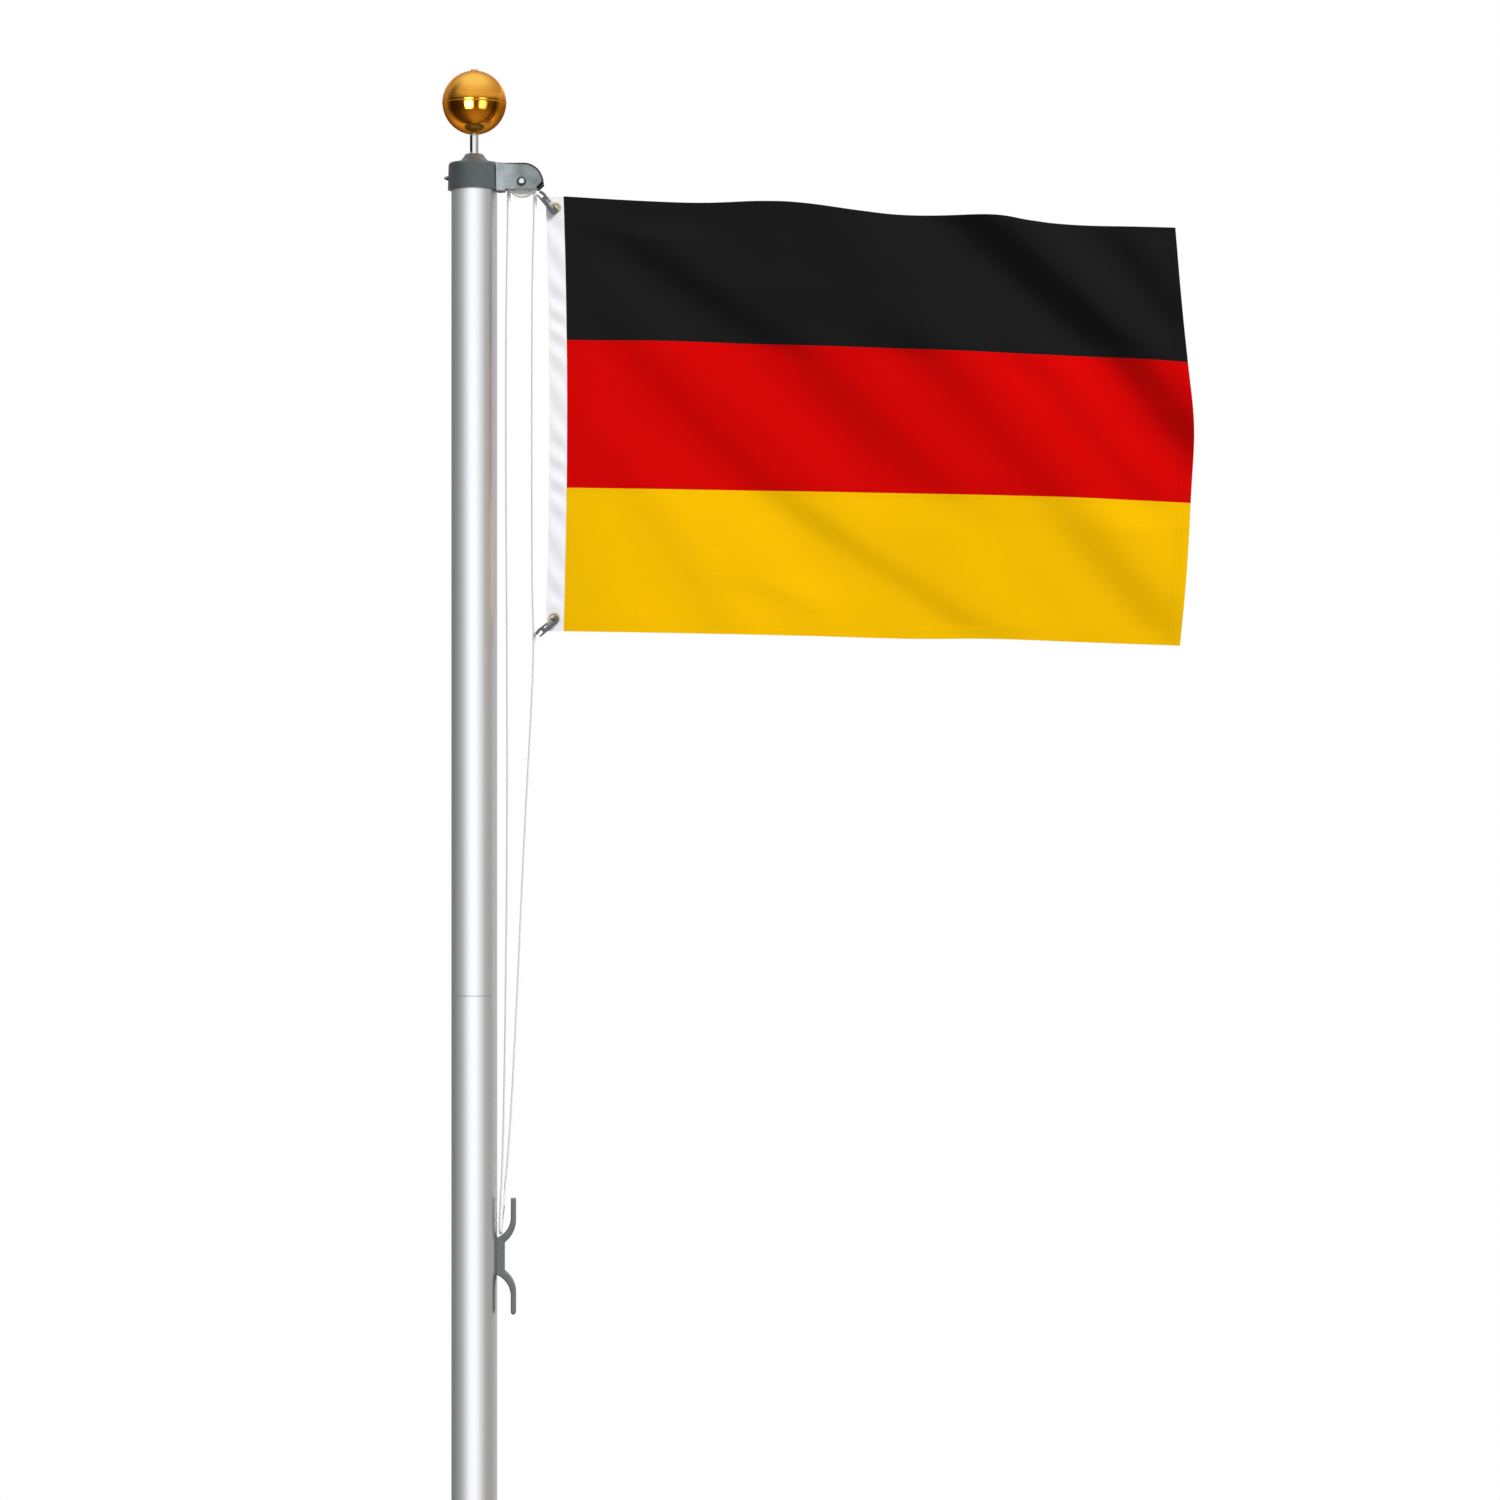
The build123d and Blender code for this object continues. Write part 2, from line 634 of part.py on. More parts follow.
def fly_lines():
    """The stripes' four borders, top first."""
    return [
        border(1, [(0.2004, 0.985), (0.3783, 0.985), (0.5493, 0.9551), (0.6811, 0.9585),
                   (0.8105, 0.9335), (0.9769, 0.9269)]),
        border(0.6709, [(0.3148, 0.661), (0.5378, 0.6503), (0.7619, 0.6377), (0.9977, 0.6186)]),
        border(0.3302, [(0.3136, 0.3236), (0.5378, 0.3169), (0.7619, 0.3108), (1.0012, 0.2962)]),
        border(0, [(0.3772, -0.0088), (0.6337, -0.0204), (0.7296, -0.0155), (0.985, -0.0321)]),
    ]


def stripe(number, cloth):
    """One stripe: the cloth between two border lines, the hoist edge and the fly edge."""
    lines = fly_lines()
    upper = lines[number]
    lower = lines[number + 1]
    reach = 3 * overshoot
    inner_x = header_right_x - overshoot
    outline = Polyline((inner_x, upper[0][1]), *upper, *reversed(lower), (inner_x, lower[0][1]), close=True)
    panel = cloth & plate(outline.edges(), -reach, reach)
    far_x = header_right_x - reach
    header_side = plate([
        hoist_edge(header_right_x),
        Line((header_right_x, flag_top_z), (header_right_x, flag_top_z + overshoot)),
        Line((header_right_x, flag_top_z + overshoot), (far_x, flag_top_z + overshoot)),
        Line((far_x, flag_top_z + overshoot), (far_x, flag_bottom_z - overshoot)),
        Line((far_x, flag_bottom_z - overshoot), (header_right_x, flag_bottom_z - overshoot)),
        Line((header_right_x, flag_bottom_z - overshoot), (header_right_x, flag_bottom_z)),
    ], -reach, reach)
    return panel - header_side


cloth = waving_cloth()
low_screw_z, high_screw_z = cleat_screw_heights()
parts = {
    "pole_section_bottom": pole_section(0, first_seam_z),
    "pole_section_middle": pole_section(first_seam_z, second_seam_z) - cleat_screw_holes(),
    "pole_section_top": top_section(),
    "truck_cap": truck_cap(),
    "truck_arm": truck_arm(),
    "truck_set_screw": set_screw(),
    "sheave": sheave(),
    "sheave_pin": sheave_pin(),
    "finial_spindle": finial_spindle(),
    "finial_ball_lower": ball_half(False),
    "finial_ball_upper": ball_half(True),
    "finial_top_plug": top_plug(),
    "halyard_fall": halyard_fall(),
    "halyard_upper_run": halyard_upper_run(),
    "halyard_middle_run": halyard_middle_run(),
    "halyard_lower_run": halyard_lower_run(),
    "cleat": cleat(),
    "cleat_screw_lower": cleat_screw(low_screw_z),
    "cleat_screw_upper": cleat_screw(high_screw_z),
    "upper_clip": snap_clip(upper_clip_at, upper_clip_turn),
    "lower_clip": snap_clip(lower_clip_at, lower_clip_turn),
    "upper_grommet": grommet(upper_grommet_at),
    "lower_grommet": grommet(lower_grommet_at),
    "flag_header": flag_header(),
    "flag_stripe_upper": stripe(0, cloth),
    "flag_stripe_middle": stripe(1, cloth),
    "flag_stripe_lower": stripe(2, cloth),
}

os.makedirs("parts", exist_ok=True)
for name, shape in parts.items():
    export_step(shape, "parts/" + name + ".step")
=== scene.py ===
import math
from contextlib import contextmanager

import bmesh
import bpy
import numpy as np
from bpy.props import FloatProperty, FloatVectorProperty, IntProperty, PointerProperty, StringProperty
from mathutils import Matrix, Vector


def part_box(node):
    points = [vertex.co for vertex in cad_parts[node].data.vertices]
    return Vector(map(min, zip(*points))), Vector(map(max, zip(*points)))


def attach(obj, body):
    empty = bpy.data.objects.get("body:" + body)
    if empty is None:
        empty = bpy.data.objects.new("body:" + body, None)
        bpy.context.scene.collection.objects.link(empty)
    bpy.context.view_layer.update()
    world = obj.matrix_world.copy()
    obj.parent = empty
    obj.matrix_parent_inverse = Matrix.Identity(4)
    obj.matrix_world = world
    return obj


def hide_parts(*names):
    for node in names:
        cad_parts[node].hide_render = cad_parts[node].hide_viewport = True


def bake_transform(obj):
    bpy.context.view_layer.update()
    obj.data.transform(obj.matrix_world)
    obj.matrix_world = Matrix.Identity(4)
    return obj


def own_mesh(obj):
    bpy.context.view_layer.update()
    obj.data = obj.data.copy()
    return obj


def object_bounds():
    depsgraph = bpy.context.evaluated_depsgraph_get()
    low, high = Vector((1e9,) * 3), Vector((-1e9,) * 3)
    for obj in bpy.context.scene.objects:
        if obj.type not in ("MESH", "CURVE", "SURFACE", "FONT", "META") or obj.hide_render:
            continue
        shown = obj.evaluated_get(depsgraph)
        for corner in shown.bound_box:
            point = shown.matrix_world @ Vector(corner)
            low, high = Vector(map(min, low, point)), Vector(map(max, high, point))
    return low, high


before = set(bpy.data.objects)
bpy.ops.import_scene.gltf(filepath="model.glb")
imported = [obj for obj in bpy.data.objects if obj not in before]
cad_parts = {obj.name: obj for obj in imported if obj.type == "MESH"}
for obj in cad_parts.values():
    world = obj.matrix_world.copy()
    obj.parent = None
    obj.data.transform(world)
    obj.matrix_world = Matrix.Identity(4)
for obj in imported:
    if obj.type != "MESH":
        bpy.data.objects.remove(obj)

bl_info = {
    "name": "Flagpole with ball finial, halyard and striped flag",
    "version": (1, 0, 0),
    "blender": (4, 5, 0),
    "location": "3D View > Sidebar > Flagpole",
    "description": "Finishes a sectional aluminium flagpole: metals, rope, cloth, and the studio round it",
    "category": "Object",
}

CAD_LOW, CAD_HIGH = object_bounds()
MM = 0.001


# Places taken from the frame

def middle(node):
    """The centre of a node's box, in metres."""
    low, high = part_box(node)
    return (low + high) / 2


POLE_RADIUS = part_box("pole_section_top")[1].x
PIN_AT = middle("sheave_pin")
CAP_LOW, CAP_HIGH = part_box("truck_cap")
ARM_LOW, ARM_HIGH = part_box("truck_arm")
BALL_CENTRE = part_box("finial_ball_upper")[0].z
BALL_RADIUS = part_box("finial_ball_upper")[1].x
ROPE_GROOVE = 18.1  # mm, from the sheave's axis to the rope's
HEADER_WIDE = 0.0246  # metres
CLOTH_LEFT = 123.5  # mm, from the pole's axis to the cloth at the hoist's corners


# Sizes and colours that a user would change

class PoleLook(bpy.types.PropertyGroup):
    """Colours and finish of the pole, its truck and its finial."""
    anodised: StringProperty(name="Anodised tube", default="EAEBED", description="Satin anodised aluminium")
    gold: StringProperty(name="Gold ball", default="F0A42C", description="Gold anodised, polished aluminium")
    casting: StringProperty(name="Cap casting", default="4A5151", description="Dark grey coated casting")
    arm: StringProperty(name="Truck arm", default="A9B2B5", description="Pale grey fine hammer finish")
    cleat: StringProperty(name="Cleat", default="68696A", description="Satin grey coated casting")
    clip: StringProperty(name="Snap clips", default="56595A", description="Grey moulded clips")
    brass: StringProperty(name="Grommets", default="D0BD8C", description="Pressed brass")
    nylon: StringProperty(name="Sheave", default="FAFAF4", description="Natural nylon")
    tube_roughness: FloatProperty(name="Tube roughness", default=0.29, min=0.0, max=1.0,
                                  description="Satin of the anodised tube")


class RopeLook(bpy.types.PropertyGroup):
    """Size and colour of the halyard."""
    colour: StringProperty(name="Rope", default="FBFBF9", description="White braided polyester")
    diameter: FloatProperty(name="Diameter", default=0.0052, unit="LENGTH", description="Over the braid")
    strands: IntProperty(name="Strands each way", default=4, min=2, max=12,
                         description="Carriers of the braid that run each way round")
    lay: FloatProperty(name="Lay", default=0.030, unit="LENGTH",
                       description="Length along the rope in which a strand goes once round")


class FlagLook(bpy.types.PropertyGroup):
    """Size and colours of the cloth."""
    fly: FloatProperty(name="Fly", default=0.90, unit="LENGTH", description="Flat width, header included")
    hoist: FloatProperty(name="Hoist", default=0.602, unit="LENGTH", description="Flat height")
    top: StringProperty(name="Upper stripe", default="1A1A1A", description="Black polyester")
    centre: StringProperty(name="Middle stripe", default="CE0504", description="Red polyester")
    bottom: StringProperty(name="Lower stripe", default="F4BC02", description="Gold polyester")
    header: StringProperty(name="Header", default="F6F6FA", description="White duck tape")
    thickness: FloatProperty(name="Cloth thickness", default=0.0005, unit="LENGTH", description="Woven polyester")
    columns: IntProperty(name="Columns", default=240, min=20, description="Quads along the fly")
    rows: IntProperty(name="Rows", default=162, min=12, description="Quads down the hoist")


class StudioLook(bpy.types.PropertyGroup):
    """Camera and light."""
    camera_distance: FloatProperty(name="Camera distance", default=6.4, unit="LENGTH",
                                   description="From the pole's plane")
    scale: FloatProperty(name="Metres a pixel", default=0.001385,
                         description="Scale of the photograph in the pole's plane")
    picture: FloatProperty(name="Picture side", default=1500.0, description="Pixels along the picture's side")
    pole_px: FloatVectorProperty(name="Pole top in the picture", size=2, default=(474.3, 69.5),
                                 description="Pixel of the pole's axis at the top of the finial")


# Colour and node helpers

def linear(colour):
    """An sRGB hex colour as linear red, green, blue and alpha."""
    channels = [int(colour[i:i + 2], 16) / 255 for i in (0, 2, 4)]
    return [c / 12.92 if c <= 0.04045 else ((c + 0.055) / 1.055) ** 2.4 for c in channels] + [1.0]


def times(colour, factor):
    """A colour times a number, no brighter than white."""
    return [min(1.0, c * factor) for c in colour[:3]] + [1.0]


def socket_of(source):
    """The output that a source names: a (node, output) pair, or a node for its first output."""
    return source[0].outputs[source[1]] if isinstance(source, tuple) else source.outputs[0]


def plug_in(tree, node, inputs):
    """Link or set a node's inputs from (input, source or value) pairs."""
    for name, term in inputs:
        if isinstance(term[0] if isinstance(term, tuple) else term, bpy.types.Node):
            tree.links.new(socket_of(term), node.inputs[name])
        else:
            node.inputs[name].default_value = term
    return node


def add_node(tree, kind, inputs=(), **settings):
    """Add a shader node, set its settings, and link or set its inputs from a dictionary."""
    node = tree.nodes.new("ShaderNode" + kind)
    for name, value in settings.items():
        setattr(node, name, value)
    return plug_in(tree, node, dict(inputs).items())


def new_material(name):
    """An empty node material, its tree and its output node."""
    material = bpy.data.materials.new(name)
    material.use_nodes = True
    tree = material.node_tree
    tree.nodes.clear()
    return material, tree, tree.nodes.new("ShaderNodeOutputMaterial")


def finish_surface(tree, output, shader):
    """Link a shader to the material's output."""
    tree.links.new(shader.outputs[0], output.inputs["Surface"])


def scaled_position(tree, scale, source="Object"):
    """Object coordinates (or UV) through a Mapping node with a scale for each axis."""
    place = add_node(tree, "TexCoord")
    return add_node(tree, "Mapping", {"Vector": (place, source), "Scale": scale})


def ramp(tree, source, stops):
    """A colour ramp from a source, with (position, colour) stops."""
    node = add_node(tree, "ValToRGB", {"Fac": source})
    elements = node.color_ramp.elements
    while len(elements) < len(stops):
        elements.new(0.5)
    for element, (position, colour) in zip(elements, stops):
        element.position = position
        element.color = colour
    return node


def calc(tree, operation, *terms):
    """A Math node of one to three terms."""
    return plug_in(tree, add_node(tree, "Math", operation=operation), enumerate(terms))


def vector(tree, operation, *terms):
    """A Vector Math node. The second term of SCALE is its factor."""
    sockets = (0, 3) if operation == "SCALE" else (0, 1)
    return plug_in(tree, add_node(tree, "VectorMath", operation=operation), zip(sockets, terms))


def apart(tree, source):
    """A vector's X, Y and Z."""
    return add_node(tree, "SeparateXYZ", {"Vector": source})


def spread(tree, source, before, after=(0, 1), smooth=False):
    """Carry a value from one range to another, held at both ends, with an S curve if smooth."""
    kind = "SMOOTHSTEP" if smooth else "LINEAR"
    return add_node(tree, "MapRange", {"Value": source, "From Min": before[0], "From Max": before[1],
                                       "To Min": after[0], "To Max": after[1]}, interpolation_type=kind)


def noise(tree, scale, detail, source="Object"):
    """Noise with a scale for each axis, per metre."""
    return add_node(tree, "TexNoise",
                    {"Vector": scaled_position(tree, scale, source), "Scale": 1.0, "Detail": detail})


def bumped(tree, source, strength, distance):
    """A Bump node from a source."""
    return add_node(tree, "Bump", {"Height": source, "Strength": strength, "Distance": distance})


def either(tree, share, first, second):
    """Mix two shaders: the first where share is 0, the second where it is 1."""
    return plug_in(tree, add_node(tree, "MixShader"), enumerate((share, first, second)))


def blend(tree, share, first, second):
    """Mix two colours: the first where share is 0, the second where it is 1."""
    node = add_node(tree, "Mix", data_type="RGBA")
    return plug_in(tree, node, ((0, share), (6, first), (7, second)))


def principled(material, tree, output, inputs):
    """Finish a material with one Principled shader."""
    finish_surface(tree, output, add_node(tree, "BsdfPrincipled", inputs))
    return material


# Materials

def anodised_tube(colour, roughness):
    """Satin anodised aluminium tube, drawn through a die: faint draw lines run along it."""
    material, tree, output = new_material("anodised_tube")
    lines = noise(tree, (900.0, 900.0, 3.0), 3.0)
    cloud = noise(tree, (14.0, 14.0, 1.6), 2.0)
    rough = spread(tree, cloud, (0, 1), (roughness - 0.03, roughness + 0.05))
    bump = bumped(tree, lines, 0.1, 0.00005)
    base = linear(colour)
    tone = ramp(tree, cloud, [(0.3, times(base, 0.97)), (0.7, base)])
    return principled(material, tree, output,
                      {"Base Color": tone, "Roughness": rough, "Normal": bump, "Metallic": 1.0})


def polished_metal(name, colour, roughness, waviness, coat=0.0, edge="FFFFFF"):
    """A polished or plated metal: nearly a mirror, with a faint waviness from spinning or polishing.

    coat is a clear skin over it, as on dyed anodising, and edge tints what it mirrors at a low angle."""
    material, tree, output = new_material(name)
    wave = noise(tree, (60.0, 60.0, 60.0), 1.0)
    haze = noise(tree, (240.0, 240.0, 500.0), 4.0)
    rough = spread(tree, haze, (0, 1), (roughness * 0.7, roughness * 1.3))
    bump = bumped(tree, wave, waviness, 0.0004)
    return principled(material, tree, output,
                      {"Roughness": rough, "Normal": bump, "Base Color": linear(colour), "Metallic": 1.0,
                       "Coat Weight": coat, "Specular Tint": linear(edge)})


def coated_casting(name, colour, grain_mm, grain_height, roughness, metallic=0.0, under=1.0, outer=1.0, mottle=0.1):
    """A coated die casting: a satin skin over a fine pebble, in random patches of lighter and darker tone.

    Faces that look down take the colour times under, as painted shade on the undersides.
    Along X, from 35 to 65 mm off the pole's axis, the colour goes to outer times its own, as a painted falloff of light
    along the arm."""
    material, tree, output = new_material(name)
    per_metre = 1.0 / (grain_mm * MM)
    pebble = noise(tree, (per_metre, per_metre, per_metre), 2.0)
    patch = noise(tree, (70.0, 70.0, 70.0), 3.0)
    base = linear(colour)
    tone = ramp(tree, patch, [(0.3, times(base, 1 - mottle)), (0.7, times(base, 1 + mottle))])
    rough = spread(tree, pebble, (0, 1), (roughness - 0.06, roughness + 0.08))
    bump = bumped(tree, pebble, grain_height, 0.0002)
    lie = add_node(tree, "NewGeometry")
    split = apart(tree, (lie, "Normal"))
    # Painted shade: faces that look down are darkened to under times the colour.
    below = spread(tree, (split, "Z"), (-0.66, -0.35), (under, 1.0))
    place = add_node(tree, "TexCoord")
    along = apart(tree, (place, "Object"))
    # Painted light falloff: the colour darkens to outer times its own going out along X.
    away = spread(tree, (along, "X"), (0.035, 0.065), (1.0, outer))
    share = calc(tree, "MULTIPLY", below, away)
    paint = vector(tree, "MULTIPLY", tone, share)
    return principled(material, tree, output,
                      {"Base Color": paint, "Roughness": rough, "Normal": bump, "Metallic": metallic})


def natural_nylon(colour):
    """Turned natural nylon: milky, light goes a little way in, with fine lathe rings."""
    material, tree, output = new_material("natural_nylon")
    rings = noise(tree, (300.0, 3000.0, 300.0), 2.0)
    bump = bumped(tree, rings, 0.2, 0.00008)
    return principled(material, tree, output,
                      {"Normal": bump, "Base Color": linear(colour), "Roughness": 0.3, "IOR": 1.53,
                       "Subsurface Weight": 0.4, "Subsurface Radius": (1, 1, 0.95), "Subsurface Scale": 0.006})


def braided_rope(colour):
    """Braided polyester: white yarn with painted shade down between the strands, and fine filaments along each one.

    The piece's attribute braid holds how high the surface stands, from 0 in the valleys to 1 on the crowns."""
    material, tree, output = new_material("braided_rope")
    height = add_node(tree, "Attribute", attribute_name="braid")
    base = linear(colour)
    # Painted shade: the colour falls to 0.4 of the yarn's in the valleys and to 0.85 a third of the way up.
    tone = ramp(tree, (height, "Fac"), [(0.0, times(base, 0.4)), (0.3, times(base, 0.85)), (0.6, base)])
    yarn = noise(tree, (2600.0, 2600.0, 420.0), 2.0)
    bump = bumped(tree, yarn, 0.5, 0.0002)
    return principled(material, tree, output,
                      {"Base Color": tone, "Normal": bump, "Roughness": 0.75, "Sheen Weight": 1.0,
                       "Sheen Roughness": 0.35, "Subsurface Weight": 0.6, "Subsurface Radius": (1, 1, 1),
                       "Subsurface Scale": 0.004})


def weave_bump(tree, threads_per_metre, strength, height):
    """A plain weave from the piece's UV map, in metres: warp and weft threads pass over and under by turns."""
    uv = scaled_position(tree, (threads_per_metre * math.pi, threads_per_metre * math.pi, 1.0), "UV")
    split = apart(tree, uv)
    warp = calc(tree, "SINE", (split, "X"))
    weft = calc(tree, "SINE", (split, "Y"))
    over = calc(tree, "MULTIPLY", warp, weft)
    return over, bumped(tree, over, strength, height)


def flag_cloth(colours, hoist):
    """Woven polyester in three sewn stripes. UV is in metres from the lower hoist corner of the cloth.

    Thread spacing is 0.9 mm, coarser than the real 0.3 mm so that it shows. A sewn seam runs along
    each border and a hem along the outer edges, drawn as darker stitch lines: two at each seam and at the fly, one at
    the top and bottom hems."""
    material, tree, output = new_material("flag_cloth")
    over, bump = weave_bump(tree, 1100.0, 0.25, 0.00012)
    place = add_node(tree, "TexCoord")
    split = apart(tree, (place, "UV"))
    share = calc(tree, "DIVIDE", (split, "Y"), hoist)
    third = ramp(tree, share, [(0.0, linear(colours[2])), (1 / 3, linear(colours[1])), (2 / 3, linear(colours[0]))])
    third.color_ramp.interpolation = "CONSTANT"
    thread = spread(tree, over, (-1.0, 1.0), (0.93, 1.04))
    slub = noise(tree, (40.0, 900.0, 1.0), 3.0, "UV")
    slub_tone = spread(tree, slub, (0, 1), (0.95, 1.05))
    both = calc(tree, "MULTIPLY", thread, slub_tone)
    sewn = add_node(tree, "Attribute", attribute_name="stitch")
    shade = calc(tree, "MULTIPLY_ADD", (sewn, "Fac"), -0.05, 1.0)
    tint = calc(tree, "MULTIPLY", both, shade)
    final = vector(tree, "MULTIPLY", third, tint)
    return principled(material, tree, output,
                      {"Base Color": final, "Normal": bump, "Roughness": 0.9, "Specular IOR Level": 0.06})


def duck_tape(colour):
    """Heavy white cotton duck: a coarse plain weave of 1.4 mm threads, matt."""
    material, tree, output = new_material("cotton_duck")
    over, bump = weave_bump(tree, 700.0, 0.5, 0.0002)
    base = linear(colour)
    tone = spread(tree, over, (-1.0, 1.0), (0.0, 1.0))
    colour_ramp = ramp(tree, tone, [(0.0, times(base, 0.93)), (1.0, base)])
    return principled(material, tree, output,
                      {"Base Color": colour_ramp, "Normal": bump, "Roughness": 0.9, "Specular IOR Level": 0.2})


# Mesh helpers

@contextmanager
def editing(mesh):
    """A bmesh of the mesh, written back to it at the end."""
    work = bmesh.new()
    work.from_mesh(mesh)
    yield work
    work.to_mesh(mesh)
    work.free()


def merged_piece(name, mesh, material, crease, near):
    """An object from a mesh: points that lie near are merged, and edges over crease degrees stay sharp."""
    with editing(mesh) as work:
        bmesh.ops.remove_doubles(work, verts=work.verts, dist=near)
    mesh.polygons.foreach_set("use_smooth", np.ones(len(mesh.polygons), bool))
    mesh.set_sharp_from_angle(angle=math.radians(crease))
    mesh.materials.clear()
    mesh.materials.append(material)
    piece = bpy.data.objects.new(name, mesh)
    bpy.context.scene.collection.objects.link(piece)
    return piece


def grid_piece(name, points, material, wrap_columns=False, uv=None, crease=38.0, values=None):
    """A surface from a grid of points, shaped (rows, columns, 3): each cell of the grid is one quad.

    wrap_columns joins the last column to the first. Points that coincide, as at the pole of a turned
    shape, are merged, which closes it. values names point attributes, each with a number for every
    point of the grid."""
    rows, columns = points.shape[:2]
    r = np.arange(rows - 1)
    c = np.arange(columns if wrap_columns else columns - 1)
    a, b = np.meshgrid(r, c, indexing="ij")
    a2, b2 = (a + 1) % rows, (b + 1) % columns
    quads = np.stack([a * columns + b, a * columns + b2, a2 * columns + b2, a2 * columns + b], axis=-1).reshape(-1, 4)
    mesh = bpy.data.meshes.new(name)
    mesh.from_pydata(points.reshape(-1, 3), [], quads.tolist())
    if uv is not None:
        layer = mesh.uv_layers.new(name="UVMap")
        layer.data.foreach_set("uv", uv.reshape(-1, 2)[quads.reshape(-1)].astype(np.float32).ravel())
    for label, numbers in (values or {}).items():
        mesh.attributes.new(label, "FLOAT", "POINT").data.foreach_set("value", numbers.astype(np.float32).ravel())
    return merged_piece(name, mesh, material, crease, 1e-7)


def face_outwards(piece):
    """Point a closed piece's faces outwards."""
    with editing(piece.data) as work:
        bmesh.ops.recalc_face_normals(work, faces=work.faces)


def rounded_profile(corners, radius, steps=5):
    """A polyline with each inner corner rounded by a quadratic through its two tangent points."""
    corners = [np.array(c, float) for c in corners]
    out = [corners[0]]
    for before, at, after in zip(corners, corners[1:], corners[2:]):
        into, away = before - at, after - at
        cut = min(radius, 0.45 * np.linalg.norm(into), 0.45 * np.linalg.norm(away))
        first = at + into / np.linalg.norm(into) * cut
        last = at + away / np.linalg.norm(away) * cut
        for t in np.linspace(0, 1, steps):
            out.append((1 - t) ** 2 * first + 2 * t * (1 - t) * at + t ** 2 * last)
    out.append(corners[-1])
    return np.array(out)


def turned_piece(name, profile, material, centre=(0, 0, 0), axis="Z", segments=128, crease=38.0):
    """A profile of (radius, height) points turned about an axis through centre.

    Along Z a point is (r cos a, r sin a, h). Along Y the height runs along Y, along X along X."""
    turn = np.linspace(0, 2 * np.pi, segments, endpoint=False)
    radius, height = profile[:, 0][:, None], profile[:, 1][:, None]
    around, across = radius * np.cos(turn), radius * np.sin(turn)
    along = np.broadcast_to(height, around.shape)
    order = {"Z": (around, across, along), "Y": (around, along, across), "X": (along, around, across)}[axis]
    points = np.stack(order, axis=-1) + np.array(centre, float)
    piece = grid_piece(name, points, material, wrap_columns=True, crease=crease)
    face_outwards(piece)
    return piece


def smooth_line(points, t):
    """A Catmull-Rom curve through a few points, read at shares t of its number of spans."""
    points = np.array(points, float)
    padded = np.vstack([2 * points[0] - points[1], points, 2 * points[-1] - points[-2]])
    spans = len(points) - 1
    at = np.clip(np.asarray(t, float) * spans, 0, spans - 1e-9)
    i = at.astype(int)
    f = (at - i)[..., None]
    p0, p1, p2, p3 = padded[i], padded[i + 1], padded[i + 2], padded[i + 3]
    return 0.5 * (2 * p1 + (p2 - p0) * f + (2 * p0 - 5 * p1 + 4 * p2 - p3) * f ** 2
                  + (3 * p1 - p0 - 3 * p2 + p3) * f ** 3)


# Pole, truck and finial

def clean_copy(node, name, material, crease=30.0):
    """A merged copy of a CAD node with its flat faces kept crisp and its round ones smooth."""
    return merged_piece(name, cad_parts[node].data.copy(), material, crease, 2e-6)


def seated(piece, body, nodes):
    """A finished piece rides on its body and stands for its nodes, which are hidden."""
    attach(piece, body)
    if nodes:
        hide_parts(*nodes)
    return piece


def build_tube(node, low, high, spigot, material):
    """One pole section: outside wall, eased lower edge, swaged spigot above, and the bore inside."""
    wall = 1.6 * MM
    ease = 0.35 * MM
    inner = POLE_RADIUS - wall
    slim = inner - 0.25 * MM
    hold = 2.0 * MM
    outside = [(inner, low), (POLE_RADIUS - ease * 0.2, low), (POLE_RADIUS, low + ease * 0.3),
               (POLE_RADIUS, low + hold)]
    if spigot:
        seam = high - spigot
        outside += [(POLE_RADIUS, seam - hold), (POLE_RADIUS, seam - ease * 0.3),
                    (POLE_RADIUS - ease * 0.3, seam), (slim, seam), (slim, high), (slim - wall, high),
                    (slim - wall, seam), (inner, seam - 8 * MM)]
    else:
        outside += [(POLE_RADIUS, high), (inner, high)]
    profile = np.array(outside + [outside[0]])
    piece = turned_piece(node.replace("pole_section", "tube"), profile, material, segments=160)
    return seated(piece, "pole", [node])


class FLAGPOLE_OT_tubes(bpy.types.Operator):
    """Make the three pole sections"""
    bl_idname = "flagpole.tubes"
    bl_label = "Pole sections"

    def execute(self, context):
        look = context.scene.pole_look
        material = anodised_tube(look.anodised, look.tube_roughness)
        spigot = 150 * MM
        for node in ("pole_section_bottom", "pole_section_middle", "pole_section_top"):
            low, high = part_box(node)
            build_tube(node, low.z, high.z, spigot if node != "pole_section_top" else 0.0, material)
        return {"FINISHED"}


